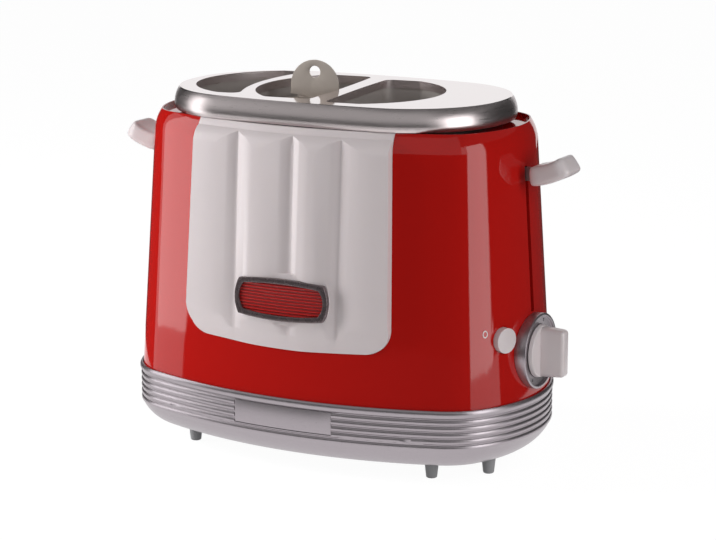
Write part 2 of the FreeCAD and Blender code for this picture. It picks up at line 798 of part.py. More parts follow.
def body_shell(panel_plate):
    body = new_body("shell_sheet")
    spine = oval_sketch(body, "shell_spine", RIM, d.shell_foot)
    wall, deck = d.shell_wall, d.deck_z
    under = deck - d.deck_thick
    brim = lip_x() - d.lip_land
    inner_rise = under - d.shell_bend + d.shoulder_r * d.shell_lean
    inner_r = d.shoulder_r - wall
    inner_x = wall_x(d.shell_bend) - d.shoulder_r + root(inner_r * inner_r - inner_rise * inner_rise)
    profile = outline(
        new_sketch(body, "shell_profile", "XZ_Plane"),
        [
            (wall_x(d.shell_foot), d.shell_foot),
            (wall_x(d.shell_bend), d.shell_bend, d.shoulder_r),
            (lip_x(), d.shell_top),
            (brim, d.shell_top),
            (brim, deck),
            (brim - wall, deck),
            (brim - wall, under),
            (inner_x, under, -inner_r),
            (wall_x(d.shell_bend, -wall), d.shell_bend),
            (wall_x(d.shell_foot, -wall), d.shell_foot),
        ],
    )
    pipe(body, "shell_pipe", spine, profile)
    deck_plan = RIM.inset(d.rim_half_x - brim)
    pad(body, "deck", oval_sketch(body, "deck_plan", deck_plan, under), d.deck_thick)
    hatch = COVER.inset(d.seat_inset + d.seat_wall)
    pocket(body, "hatch", oval_sketch(body, "hatch_plan", hatch, deck), d.deck_thick)
    slot = new_sketch(body, "lever_slot_outline", "YZ_Plane")
    half, half_stem = d.bar_thick / 2 + d.slot_clear / 2, d.stem_height / 2
    slot_high = d.stem_z + half_stem + d.slot_clear / 2
    rectangle(slot, -half, d.stem_z - d.travel - half_stem - d.slot_spare, half, slot_high)
    pocket(body, "lever_slots", slot, d.rim_half_x * 2, Midplane=True)
    dial = new_sketch(body, "dial_hole_outline", "YZ_Plane")
    circle(dial, 0, d.dial_z, d.dial_sleeve_r)
    pocket(body, "dial_hole", dial, d.rim_half_x, Reversed=True)
    button = button_bar("button_hole", d.button_r + d.side_gap, -d.knob_r, d.knob_r)
    chutes = chute_room("deck", under, d.shell_top)
    return node(cut("body_shell", body, button, panel_plate, *chutes), "body_shell")


BUTTON_WALL = wall_x(d.button_z).value - (d.rim_half_x - d.rim_end_r).value
BUTTON_X = math.sqrt(BUTTON_WALL**2 - d.button_y.value**2) + (d.rim_half_x - d.rim_end_r).value
BUTTON_TURN = FreeCAD.Rotation(V(0, 0, 1), -d.button_turn.value).multiply(TURNS["x"])
BUTTON_AXIS = BUTTON_TURN.multVec(V(0, 0, 1))


def button_bar(name, radius, inner, outer):
    """A round bar on the stop button's axis; distances run outwards from the shell."""
    bar = bind(
        doc.addObject("Part::Cylinder", name), Radius=radius, Height=outer - as_size(inner)
    )
    start = V(BUTTON_X, d.button_y.value, d.button_z.value) + BUTTON_AXIS * as_size(inner).value
    bar.Placement = FreeCAD.Placement(start, BUTTON_TURN)
    return bar


# ---------------------------------------------------------------- front panel, badge, plate


def badge_prism(name, grow):
    """Barrel-shaped badge outline: bowed long edges, bowed ends."""
    half_w = d.badge_width / 2 + grow - d.badge_end_bow
    half_h = d.badge_height / 2 + grow - d.badge_bow
    long_r = bow_radius(half_w, d.badge_bow)
    end_r = bow_radius(half_h, d.badge_end_bow)
    left, right = d.badge_x - half_w, d.badge_x + half_w
    low, high = d.badge_z - half_h, d.badge_z + half_h
    return upright_prism(
        name, [(left, low, long_r), (right, low, end_r), (right, high, long_r), (left, high, end_r)]
    )


def panel_prism():
    half, low, high, r = d.panel_half, d.panel_bottom, d.shell_top, d.panel_round
    x, flat = d.panel_x, half - r
    foot = low + d.panel_sag
    top = half - d.panel_taper
    return upright_prism(
        "panel_face",
        [
            (x - flat, foot, bow_radius(flat, d.panel_sag)),
            (x + flat, foot, r),
            (x + half, foot + r),
            (x + top, high),
            (x - top, high),
            (x - half, foot + r, r),
        ],
    )


def panel_plate(face):
    """The plate of the front panel, half sunk in the shell."""
    return common("panel_plate", face, wall_ring("panel_wall", d.panel_proud, -d.panel_sunk))


def flute_limit():
    """Ring that lets the flutes fade out below and close over in a round above."""
    body = new_body("flute_limit")
    spine = oval_sketch(body, "flute_limit_spine", RIM, d.flute_end)
    rise = d.flute_rise + d.panel_proud
    low, high = d.flute_end, d.flute_top
    full, turn = low + d.flute_fade, high - rise * 2
    back = -d.panel_sunk / 2
    profile = outline(
        new_sketch(body, "flute_limit_profile", "XZ_Plane"),
        [
            (wall_x(low, back), low), (wall_x(full, rise), full),
            (wall_x(turn, rise), turn, rise * 2.4), (wall_x(high, back), high),
        ],
    )
    pipe(body, "flute_limit_pipe", spine, profile)
    return body


def front_panel(face, plate):
    radius = bow_radius(d.flute_width / 2, d.flute_rise)
    lean = math.degrees(math.atan(d.shell_lean.value))
    flutes = []
    for index in range(4):
        x = d.panel_x + d.flute_width * (index - 1.5)
        y = surface_y(x, d.flute_end) - d.panel_proud - d.flute_rise + radius
        flute = doc.addObject("Part::Cylinder", f"flute_{index + 1}")
        bind(flute, Radius=radius, Height=d.flute_top - d.flute_end + d.flute_rise)
        flute.Placement = FreeCAD.Placement(
            V(x.value, y.value, d.flute_end.value), FreeCAD.Rotation(V(1, 0, 0), -lean)
        )
        flutes.append(flute)
    ribs = common("panel_flutes", face, fuse("flute_bank", *flutes), flute_limit())
    pad_block = common(
        "badge_pad", badge_prism("badge_pad_face", d.badge_border),
        wall_ring("badge_pad_wall", d.badge_seat, 0),
    )
    space = common(
        "badge_space", badge_prism("badge_space_face", 0),
        wall_ring("badge_space_wall", d.badge_proud * 2, d.badge_seat),
    )
    return node(cut("front_panel", fuse("panel_sum", plate, ribs, pad_block), space),
                "front_panel")


def surface_y(x, height):
    """Front face of the shell at x, on the long front arc."""
    inset = d.rim_half_x - wall_x(height)
    radius = d.rim_front_r - inset
    return inset - d.rim_half_y + radius - root(radius * radius - x * x)


def badge():
    wall = wall_ring("badge_wall", d.badge_proud, d.badge_seat)
    block = common("badge_block", badge_prism("badge_face", 0), wall)
    window = badge_prism("badge_window", -d.badge_border)
    node(cut("badge_frame", block, window), "badge_frame")
    middle = (d.badge_seat + d.badge_proud) / 2
    inset = wall_ring("insert_wall", middle, d.badge_seat)
    face = badge_prism("insert_face", -d.badge_border)
    return node(common("badge_insert", face, inset), "badge_insert")


def name_plate():
    block = common(
        "plate_block", plate_prism("plate_prism", d.fit_gap / 2),
        rim_block("plate_front", d.plate_depth - d.plate_proud),
    )
    return node(cut("name_plate", block, rim_block("plate_back", d.plate_depth)), "name_plate")


# ---------------------------------------------------------------- cover and openings


def bay_skeleton(name, left, right, left_bow, right_bow):
    """Outline of an opening about the bank's centre, drawn in by its corner radius."""
    inset = d.bay_round
    half = d.bay_half - inset
    level = (left + right) / 2 * -sine(d.bank_turn)
    left, right = left + inset, right - inset

    def side_radius(bow):
        return bow_radius(half, bow)

    sketch = doc.addObject("Sketcher::SketchObject", name)
    outline(
        sketch,
        [
            (left + left_bow, level - half),
            (right - right_bow, level - half, side_radius(right_bow)),
            (right - right_bow, level + half),
            (left + left_bow, level + half, side_radius(left_bow)),
        ],
    )
    sketch.Placement = BANK
    return sketch


LEFT_BUN, CAGE_BAY, RIGHT_BUN = "left_bun", "cage_bay", "right_bun"
SKELETONS = {
    LEFT_BUN: bay_skeleton(
        "left_bun_outline", -d.cage_left - d.bar_left - d.bun_width_left,
        -d.cage_left - d.bar_left, d.bun_bow, -d.bar_bow,
    ),
    CAGE_BAY: bay_skeleton(
        "cage_bay_outline", -d.cage_left, d.cage_right, d.cage_bow, d.slot_clear
    ),
    RIGHT_BUN: bay_skeleton(
        "right_bun_outline", d.cage_right + d.bar_right,
        d.cage_right + d.bar_right + d.bun_width_right, d.slot_clear, d.bun_bow,
    ),
}


def bay_prism(name, bay, grow, low, high):
    """Prism of an opening, grown outwards by grow, between two heights."""
    ring = doc.addObject("Part::Offset2D", name + "_ring")
    ring.Source = SKELETONS[bay]
    ring.Join = 0
    bind(ring, Value=d.bay_round + grow)
    prism = doc.addObject("Part::Extrusion", name)
    prism.Base = ring
    prism.DirMode = "Custom"
    prism.Dir = V(0, 0, 1)
    prism.Solid = True
    bind(prism, LengthFwd=high - low, Placement__Base__z=low)
    return prism


def chute_room(name, low, high):
    """Room for the three chutes between two heights."""
    grow = d.sheet + d.liner_gap + d.liner_wall + d.fit_gap
    return [bay_prism(f"{name}_{bay}_room", bay, grow, low, high) for bay in SKELETONS]


def top_cover():
    body = new_body("cover_sheet")
    low, wide, top, sheet_t = d.cover_low, d.cover_wide_z, d.cover_top, d.sheet
    half, edge_in, tuck = d.cover_half_x, d.cover_edge_in, d.cover_tuck
    over, under = top - wide, wide - low
    top_r, side_r = bow_radius(over, edge_in), bow_radius(under, tuck)
    top_inside, side_inside = top_r - sheet_t, side_r - sheet_t
    rise = over - sheet_t
    inner_edge = half - top_r + root(top_inside * top_inside - rise * rise)
    inner_foot = half - side_r + root(side_inside * side_inside - under * under)
    spine = oval_sketch(body, "cover_spine", COVER, low)
    profile = outline(
        new_sketch(body, "cover_profile", "XZ_Plane"),
        [
            (half - tuck, low, side_r),
            (half, wide, top_r),
            (half - edge_in, top),
            (half - edge_in * 2, top),
            (half - edge_in * 2, top - sheet_t),
            (inner_edge, top - sheet_t, -top_inside),
            (half - sheet_t, wide, -side_inside),
            (inner_foot, low),
        ],
    )
    pipe(body, "cover_band", spine, profile)
    plan = COVER.inset(edge_in * 1.9)
    pad(body, "cover_plate", oval_sketch(body, "cover_plan", plan, top - sheet_t), sheet_t)
    collars = [
        bay_prism(bay + "_collar", bay, sheet_t, top - d.collar_drop, top - sheet_t / 2)
        for bay in SKELETONS
    ]
    mouths = [
        bay_prism(bay + "_mouth", bay, 0, top - d.collar_drop, top) for bay in SKELETONS
    ]
    blank = fuse("cover_blank", body, *collars)
    return node(cut("top_cover", blank, *mouths), "top_cover")


def cover_seat():
    """Ring on the deck that carries the cover."""
    body = new_body("seat_ring")
    outer = d.cover_half_x - d.seat_inset
    inner = outer - d.seat_wall
    spine = oval_sketch(body, "seat_spine", COVER, d.deck_z)
    profile = new_sketch(body, "seat_profile", "XZ_Plane")
    high = d.cover_top - d.sheet
    rectangle(profile, inner, d.deck_z, outer, high)
    pipe(body, "seat_pipe", spine, profile)
    return node(cut("cover_seat", body, *chute_room("seat", d.deck_z, high)), "cover_seat")


def guard_windows(label):
    """Windows through the long sides of a chute, in front of and behind the middle."""
    rows = int(d.guard_rows.value)
    pitch = (d.board_high - d.board_low) / rows
    span = d.board_half - d.bay_round
    made = []
    for row in range(rows):
        low = d.board_low + pitch * row + pitch / 8
        for front, y in ((1, -span), (0, d.bay_round)):
            made.append(
                box(
                    f"{label}_window_{row}_{front}", -d.rim_half_x, y, low, d.rim_half_x * 2,
                    span - d.bay_round, pitch * 0.75,
                )
            )
    return made


def chutes():
    low = d.floor_z + d.floor_thick
    high = d.cover_top - d.sheet
    bar_top = d.rest_z + d.rest_thick + d.slot_clear
    slot = box(
        "bar_slot", -d.rim_half_x, -(d.bar_thick / 2 + d.slot_clear), low,
        d.rim_half_x * 2, d.bar_thick + d.slot_clear * 2, bar_top - low,
    )
    inner = d.sheet + d.liner_gap
    for bay, label in (
        (LEFT_BUN, "left_bun_chute"), (CAGE_BAY, "cage_chute"), (RIGHT_BUN, "right_bun_chute")
    ):
        outside = bay_prism(label + "_outside", bay, inner + d.liner_wall, low, high)
        inside = bay_prism(label + "_inside", bay, inner, low, high)
        node(cut(label, outside, inside, slot, *guard_windows(label)), label)


# ---------------------------------------------------------------- inside frame


def chassis_floor():
    body = new_body("chassis_floor_sheet")
    edge = RIM.inset(d.rib_valley + d.skirt_wall + d.fit_gap)
    plan = oval_sketch(body, "floor_plan", edge, d.floor_z)
    pad(body, "floor_pad", plan, d.floor_thick)
    low, high = d.floor_z, d.floor_z + d.floor_thick
    windows = [bay_prism(bay + "_window", bay, -d.rest_clear, low, high) for bay in SKELETONS]
    return node(cut("chassis_floor", body, *windows), "chassis_floor")


def end_frame(label, side, web):
    """Folded sheet: an upright web with a flange turned outwards at both ends."""
    low, high = d.floor_z + d.floor_thick, d.frame_top
    t, flange, half = d.frame_sheet, d.frame_flange, d.frame_half
    body = new_body(label + "_sheet")
    inner, outer = web * side, (web + t) * side
    lip = (web + flange) * side
    profile = outline(
        new_sketch(body, label + "_profile", "XZ_Plane", -half),
        [
            (inner, low), (lip, low), (lip, low + t), (outer, low + t),
            (outer, high - t), (lip, high - t), (lip, high), (inner, high),
        ],
    )
    pad(body, label + "_fold", profile, half * 2)
    gap = d.slot_clear
    slot = new_sketch(body, label + "_slot_outline", "YZ_Plane")
    rectangle(
        slot, -d.bar_thick / 2 - gap, low + t, d.bar_thick / 2 + gap,
        d.rest_z + d.rest_thick + gap,
    )
    pocket(body, label + "_slot", slot, d.rim_half_x * 2, Midplane=True)
    rod = new_sketch(body, label + "_rod_holes", "XY_Plane", high)
    circle(rod, (web + d.rod_out) * side, d.rod_y, d.rod_r + d.running)
    pocket(body, label + "_rods", rod, high - low)
    return node(body, label)


def rod_at(side, web):
    return (web + d.rod_out) * side


def guide_rods():
    low, high = d.floor_z + d.floor_thick, d.frame_top
    rods = [
        cylinder(f"rod_{name}", rod_at(side, web), d.rod_y, low, d.rod_r, high - low)
        for name, side, web in SIDES
    ]
    return node(group("guide_rods", *rods), "guide_rods")


SIDES = (("left", -1, d.frame_left_x), ("right", 1, d.frame_right_x))


# ---------------------------------------------------------------- carriage


def carriage_bar():
    left = d.frame_left_x + d.frame_sheet + d.arm_gap
    right = d.frame_right_x + d.frame_sheet + d.arm_gap
    bar = box(
        "carriage_bar", -left, -d.bar_thick / 2, d.rest_z - d.bar_height,
        left + right, d.bar_thick, d.bar_height,
    )
    return node(bar, "carriage_bar")


def carriage_arms():
    for name, side, web in SIDES:
        inner = web + d.frame_sheet + d.arm_gap
        low, high = d.rest_z - d.bar_height, d.stem_z + d.stem_height / 2
        x = inner if side > 0 else -inner - d.arm_thick
        plate = box(
            name + "_arm_plate", x, -d.arm_half, low, d.arm_thick, d.arm_half * 2, high - low
        )
        reach = LEVER_END + d.stem_grip
        start = inner if side > 0 else -reach
        stem = box(
            name + "_stem", start, -d.bar_thick / 2, d.stem_z - d.stem_height / 2,
            reach - inner, d.bar_thick, d.stem_height,
        )
        edge = d.spring_r + d.rod_out - d.frame_sheet - d.arm_gap + d.slot_clear
        ear = box(
            name + "_spring_ear", inner if side > 0 else -inner - edge,
            d.spring_y - d.spring_r, d.spring_low - d.spring_r - d.arm_thick, edge,
            -d.arm_half + d.arm_thick - d.spring_y + d.spring_r, d.arm_thick,
        )
        pieces = [plate, stem, ear]
        if side > 0:
            pieces.append(
                box(
                    "latch_keeper", inner, -d.arm_half, d.magnet_high + d.travel + d.slot_clear,
                    d.magnet_x + d.magnet_r - inner, d.arm_half - d.bar_thick / 2, d.arm_thick,
                )
            )
        node(fuse(name + "_arm", *pieces), name + "_arm")


def guide_bushes():
    made = []
    for name, side, web in SIDES:
        inner = web + d.frame_sheet + d.arm_gap + d.arm_thick
        low = d.stem_z - d.stem_height / 2 - d.bush_length
        ring = cylinder(
            name + "_bush_ring", rod_at(side, web), d.rod_y, low, d.bush_r, d.bush_length
        )
        hub_x = rod_at(side, web)
        start = inner if side > 0 else -inner - d.arm_thick
        ear = box(
            name + "_bush_ear", start, 0, low, d.arm_thick, d.rod_y, d.bush_length
        )
        bore = cylinder(
            name + "_bush_bore", hub_x, d.rod_y, low, d.rod_r + d.running, d.bush_length
        )
        made.append(cut(name + "_bush", fuse(name + "_bush_blank", ring, ear), bore))
    return node(group("guide_bushes", *made), "guide_bushes")


def rests():
    low, high = d.rest_z, d.rest_z + d.rest_thick
    for bay, label in (
        (LEFT_BUN, "left_bun_rest"), (CAGE_BAY, "cage_rest"), (RIGHT_BUN, "right_bun_rest")
    ):
        node(bay_prism(label, bay, -d.rest_clear, low, high), label)


def lever(label, side):
    """Curved handle: a banana-shaped outline padded across, its nose rounded, edges soft."""
    body = new_body(label)
    half_t, curve, half = d.lever_thick / 2, d.lever_curve_r, d.lever_half_width
    start, stop = -d.lever_start, -d.lever_stop
    cap = half_t * 1.15
    bulge = cap - root(cap * cap - half_t * half_t)
    centre_x = LEVER_END + bulge - cosine(start) * curve
    centre_z = d.stem_z - sine(start) * curve

    def at(radius, angle):
        return (centre_x + cosine(angle) * radius) * side, centre_z + sine(angle) * radius

    outer, inner = curve + half_t, curve - half_t
    points = [
        (*at(outer, start), outer * side), (*at(outer, stop), cap * side),
        (*at(inner, stop), -inner * side), (*at(inner, start), cap * side),
    ]
    sketch = outline(new_sketch(body, label + "_outline", "XZ_Plane"), points)
    grip = pad(body, label + "_grip", sketch, half * 2, Midplane=True)
    fillet(body, label + "_soft", grip, lambda b: b.YLength < 0.01, d.lever_round)
    tip = centre_x + cosine(stop) * curve + half_t
    shoulder, far = (tip - d.lever_nose) * side, (tip + half) * side
    nose = outline(
        new_sketch(body, label + "_nose_outline", "XY_Plane"),
        [
            (shoulder, half, -bow_radius(half, d.lever_nose) * side), (shoulder, -half),
            (shoulder, -half * 2), (far, -half * 2), (far, half * 2), (shoulder, half * 2),
        ],
    )
    return pocket(body, label + "_nose", nose, d.rim_half_x * 4, Midplane=True)


def levers():
    for name, side, _ in SIDES:
        lever(name + "_handle", side)
        grip = doc.getObject(name + "_handle")
        room = d.running
        reach = LEVER_END + d.stem_grip
        low = d.rim_half_x / 2
        start = low if side > 0 else -reach - room
        socket = box(
            name + "_socket", start, -d.bar_thick / 2 - room,
            d.stem_z - d.stem_height / 2 - room, reach + room - low,
            d.bar_thick + room * 2, d.stem_height + room * 2,
        )
        node(cut(name + "_lever", grip, socket), name + "_lever")


# ---------------------------------------------------------------- sausage cage


def sausage_cage():
    low = d.rest_z + d.rest_thick
    high = d.sleeve_top
    sleeves = []
    for name, side in (("front", -1), ("back", 1)):
        body = new_body(name + "_sleeve")
        y = (d.sleeve_r + d.sleeve_gap / 2) * side
        plan = new_sketch(body, name + "_sleeve_plan", "XY_Plane", low)
        circle(plan, 0, y, d.sleeve_r)
        circle(plan, 0, y, d.sleeve_r - d.sleeve_wall)
        pad(body, name + "_sleeve_tube", plan, high - low)
        sleeves.append(body)
    reach = d.sleeve_r + d.sleeve_gap / 2
    floor_sheet = box(
        "cage_floor", -d.sleeve_r / 3, -reach - d.sleeve_r * 0.9, low, d.sleeve_r * 2 / 3,
        reach * 2 + d.sleeve_r * 1.8, d.sleeve_wall,
    )
    spine = box(
        "cage_spine", -d.sleeve_r / 4, -d.sleeve_gap / 2 - d.sleeve_wall / 2, low,
        d.sleeve_r / 2, d.sleeve_gap + d.sleeve_wall, high - low - d.tab_width,
    )
    return node(in_bank(fuse("sausage_cage", *sleeves, floor_sheet, spine)), "sausage_cage")


def cage_tab():
    body = new_body("cage_tab")
    half = d.tab_width / 2
    low = d.sleeve_top - d.tab_width
    sketch = new_sketch(body, "tab_outline", "XZ_Plane")
    outline(
        sketch,
        [
            (-d.sleeve_r / 4, low), (d.sleeve_r / 4, low), (d.sleeve_r / 4, d.sleeve_top),
            (half, d.sleeve_top + d.tab_thick), (half, d.tab_top - half, half),
            (0, d.tab_top, half), (-half, d.tab_top - half),
            (-half, d.sleeve_top + d.tab_thick), (-d.sleeve_r / 4, d.sleeve_top),
        ],
    )
    circle(sketch, 0, d.tab_top - d.tab_hole_r * 2, d.tab_hole_r)
    pad(body, "tab_plate", sketch, d.tab_thick, Midplane=True)
    return node(in_bank(body), "cage_tab")


# ---------------------------------------------------------------- controls


def dial_ring():
    body = new_body("dial_blank")
    face, r = DIAL_FACE, d.dial_r
    bore = d.shaft_r + d.running
    sketch = new_sketch(body, "dial_profile", "XZ_Plane")
    back = face - d.knob_r
    outline(
        sketch,
        [
            (back, bore), (back, d.dial_sleeve_r), (DIAL_FACE - d.dial_sleeve_r, d.dial_sleeve_r),
            (DIAL_FACE - d.dial_sleeve_r, r), (face, r), (face, r - d.dial_border),
            (face - d.dial_dish, r - d.dial_border), (face - d.dial_dish, bore),
        ],
    )
    revolve(body, "dial_turned", sketch, "H_Axis")
    body.Placement = FreeCAD.Placement(V(0, 0, d.dial_z.value), FreeCAD.Rotation())
    wall = cut(
        "dial_wall", wall_block("dial_wall_block"),
        cylinder("dial_wall_hole", 0, 0, d.dial_z, d.dial_sleeve_r, DIAL_FACE, "x"),
    )
    return node(cut("dial_ring", body, wall), "dial_ring")


def control_knob():
    back = DIAL_FACE - d.dial_dish + d.side_gap
    disc = cylinder("knob_disc_blank", back, 0, d.dial_z, d.knob_r, d.knob_disc, "x")
    grip = box(
        "knob_grip_blank", back, -d.knob_grip / 2, d.dial_z - d.knob_r,
        KNOB_END - back, d.knob_grip, d.knob_r * 2,
    )
    hull = cylinder("knob_hull", back, 0, d.dial_z, d.knob_r, KNOB_END - back, "x")
    shaft = cylinder(
        "knob_shaft", DIAL_FACE - d.knob_r - d.timer_depth / 2, 0, d.dial_z, d.shaft_r,
        d.knob_r + d.timer_depth / 2, "x",
    )
    knob = fuse("control_knob", disc, common("knob_grip_round", grip, hull), shaft)
    return node(knob, "control_knob")


def timer_body():
    front = DIAL_FACE - d.knob_r
    can = cylinder("timer_can", front - d.timer_depth, 0, d.dial_z, d.timer_r, d.timer_depth, "x")
    bore = cylinder(
        "timer_bore", front - d.timer_depth / 2 - d.side_gap, 0, d.dial_z,
        d.shaft_r + d.running, d.timer_depth, "x",
    )
    return node(cut("timer_body", can, bore), "timer_body")


def stop_button():
    back = -d.shell_wall - d.button_travel
    cap = button_bar("button_cap", d.button_r, back, d.button_proud)
    stem = button_bar("button_stem", d.button_r / 2, back * 2, back)
    return node(fuse("stop_button", cap, stem), "stop_button")


def crumb_tray(wall):
    body = new_body("tray_pan")
    half, sheet_t = d.tray_half, d.tray_wall
    back = TRAY_BACK + sheet_t * 2
    plan = new_sketch(body, "tray_plan", "XY_Plane", d.tray_z)
    rectangle(plan, -half, -TRAY_FRONT, half, back)
    pad(body, "tray_block", plan, d.tray_height)
    well = new_sketch(body, "tray_well_plan", "XY_Plane", d.tray_z + d.tray_height)
    rectangle(well, sheet_t - half, sheet_t - TRAY_FRONT, half - sheet_t, TRAY_BACK)
    pocket(body, "tray_well", well, d.tray_height - sheet_t)
    end = common("tray_end", wall, tray_door("tray_end_prism", 0))
    pull = box(
        "tray_pull", -d.tray_pull / 2, TRAY_BACK, d.tray_z, d.tray_pull,
        d.rim_half_y - TRAY_BACK, sheet_t * 2,
    )
    sides = [
        box(
            f"tray_side_{i}", x, TRAY_BACK, d.tray_z, d.tray_wall * 2,
            surface_y(d.tray_half, d.skirt_top) * -1 - d.bowl_tuck / 2 - TRAY_BACK,
            d.tray_height,
        )
        for i, x in enumerate((-half, -sheet_t, half - sheet_t * 2))
    ]
    return node(fuse("crumb_tray", body, end, pull, *sides), "crumb_tray")


def tray_rails():
    low = d.foot_height + d.plate_thick
    length = TRAY_FRONT + TRAY_BACK - d.rail_width * 3
    made = []
    for name, side in (("left", -1), ("right", 1)):
        start = d.tray_half + d.side_gap if side > 0 else -d.tray_half - d.side_gap - d.tray_wall
        guide = box(
            name + "_rail_guide", start, -TRAY_FRONT, low, d.tray_wall, length,
            d.tray_z + d.tray_height / 2 - low,
        )
        foot = d.tray_half - d.rail_width
        shelf = box(
            name + "_rail_shelf", foot if side > 0 else -d.tray_half - d.side_gap,
            -TRAY_FRONT, low, d.rail_width + d.side_gap, length, d.tray_z - low,
        )
        made.append(fuse(name + "_rail", guide, shelf))
    return node(group("tray_rails", *made), "tray_rails")


def cord_gland():
    """Bush through the back wall; the cord itself isn't part of the model."""
    back = -surface_y(GLAND_X, d.skirt_top) + d.shell_inset
    inner = back - d.gland_flange * 1.5
    barrel = cylinder("gland_barrel", GLAND_X, inner, d.gland_z, d.gland_r, back - inner, "y")
    flange = cylinder(
        "gland_flange", GLAND_X, inner, d.gland_z, d.gland_flange, d.gland_flange / 4, "y"
    )
    bore = cylinder("gland_bore", GLAND_X, inner, d.gland_z, d.gland_bore, back - inner, "y")
    return node(cut("cord_gland", fuse("gland_blank", barrel, flange), bore), "cord_gland")


HEATERS = (
    ("outer_left_heater", LEFT_BUN, -1),
    ("inner_left_heater", LEFT_BUN, 1),
    ("inner_right_heater", RIGHT_BUN, -1),
    ("outer_right_heater", RIGHT_BUN, 1),
)


def heaters():
    """Mica boards along the bun chutes, each with rows of heating wire on its outer face."""
    near = d.sheet + d.liner_gap + d.liner_wall + d.board_gap
    far = near + d.board_thick
    boards, windings = [], []
    for name, bay, side in HEATERS:
        middle = {LEFT_BUN: -d.cage_left - d.bar_left, RIGHT_BUN: d.cage_right + d.bar_right}[bay]
        width = d.bun_width_left if bay == LEFT_BUN else d.bun_width_right
        centre = middle - width / 2 if bay == LEFT_BUN else middle + width / 2
        left = centre if side > 0 else centre - width
        block = box(
            name + "_block", left, -d.board_half, d.board_low, width, d.board_half * 2,
            d.board_high - d.board_low,
        )
        reach = d.bar_thick * 1.5
        gap = box(
            name + "_gap", -d.rim_half_x, -reach, d.board_low, d.rim_half_x * 2, reach * 2,
            d.rest_z + d.rest_thick + d.slot_clear - d.board_low,
        )
        room = cut(name + "_room", in_bank(group(name + "_place", block)), gap)
        outside = bay_prism(name + "_outside", bay, far, d.board_low, d.board_high)
        inside = bay_prism(name + "_inside", bay, near, d.board_low, d.board_high)
        boards.append(common(name + "_board", room, cut(name + "_ring", outside, inside)))
        pitch = (d.board_high - d.board_low) / (d.wire_rows + 1)
        for row in range(int(d.wire_rows.value)):
            low = d.board_low + pitch * (row + 1)
            strip = f"{name}_wire_{row}"
            wide = bay_prism(strip + "_out", bay, far + d.wire_r / 2, low, low + d.wire_r * 2)
            tight = bay_prism(strip + "_in", bay, far, low, low + d.wire_r * 2)
            windings.append(common(strip, room, cut(strip + "_ring", wide, tight)))
    node(group("heater_boards", *boards), "heater_boards")
    return node(group("heater_wires", *windings), "heater_wires")


def lift_springs():
    low, high = d.spring_low, d.spring_high
    made = []
    for name, side, web in SIDES:
        helix = bind(
            doc.addObject("Part::Helix", name + "_spring_path"),
            Pitch=(high - low) / d.spring_turns, Height=high - low, Radius=d.spring_r,
        )
        wire = bind(
            doc.addObject("Part::Circle", name + "_spring_wire"), Radius=d.spring_wire
        )
        wire.Placement = FreeCAD.Placement(
            V(d.spring_r.value, 0, 0), FreeCAD.Rotation(V(1, 0, 0), 90)
        )
        coil = doc.addObject("Part::Sweep", name + "_spring")
        coil.Sections = [wire]
        coil.Spine = (helix, [])
        coil.Solid = True
        coil.Frenet = True
        x = rod_at(side, web)
        bind(
            coil, Placement__Base__x=x, Placement__Base__y=d.spring_y, Placement__Base__z=low
        )
        ends = (("low", low - d.spring_r, low), ("high", high, d.frame_top - d.frame_sheet))
        hooks = [
            cylinder(
                f"{name}_hook_{end}", x + d.spring_r, d.spring_y, start, d.spring_wire, stop - start
            )
            for end, start, stop in ends
        ]
        made.append(fuse(name + "_hooked_spring", coil, *hooks))
    return node(group("lift_springs", *made), "lift_springs")


def latch_magnet():
    low = d.floor_z + d.floor_thick + d.frame_sheet
    core = cylinder(
        "magnet_core", d.magnet_x, d.magnet_y, low, d.magnet_r / 2, d.magnet_high - low
    )
    coil = cylinder(
        "magnet_coil", d.magnet_x, d.magnet_y, low, d.magnet_r, d.magnet_high - low - d.sheet
    )
    return node(fuse("latch_magnet", core, coil), "latch_magnet")


def control_board():
    inner = d.frame_right_x - d.slot_clear * 2
    y = d.bar_thick + d.slot_clear
    board = box(
        "board_sheet", inner - d.arm_thick, y, d.circuit_low, d.arm_thick, d.circuit_width - y,
        d.circuit_height,
    )
    spacers = [
        cylinder(f"spacer_{i}", inner, y + d.bar_thick, height, d.screw_r * 1.5, d.slot_clear * 2, "x")
        for i, height in enumerate(
            (d.circuit_low + d.post_r, d.circuit_low + d.circuit_height - d.post_r)
        )
    ]
    relay = box(
        "board_relay", inner - d.arm_thick - d.post_r, y + d.bar_thick,
        d.circuit_low + d.post_r * 2, d.post_r, d.post_r * 2, d.post_r * 3,
    )
    return node(fuse("control_board", board, relay, *spacers), "control_board")


def terminal_block():
    low = d.floor_z + d.floor_thick
    x, y, length = d.terminal_in - d.rim_half_x, d.rim_half_y - d.terminal_back, d.terminal_length
    block = box("terminal_blank", x, y, low, length, d.terminal_depth, d.terminal_height)
    holes = [
        cylinder(
            f"terminal_hole_{i}", x + length / 4 * (1 + i * 2), y, low + d.terminal_height / 2,
            d.screw_r, d.terminal_depth, "y",
        )
        for i in range(2)
    ]
    return node(cut("terminal_block", block, *holes), "terminal_block")


def button_housing():
    depth, wall = d.housing_depth, d.tray_wall * 1.5
    blank = button_bar("housing_blank", d.housing_r, -depth, 0)
    bore = button_bar("housing_bore", d.button_r + d.side_gap, wall - depth, d.knob_r)
    skin = wall_ring("housing_wall", d.sleeve_r, -d.shell_wall)
    return node(cut("button_housing", blank, bore, skin), "button_housing")


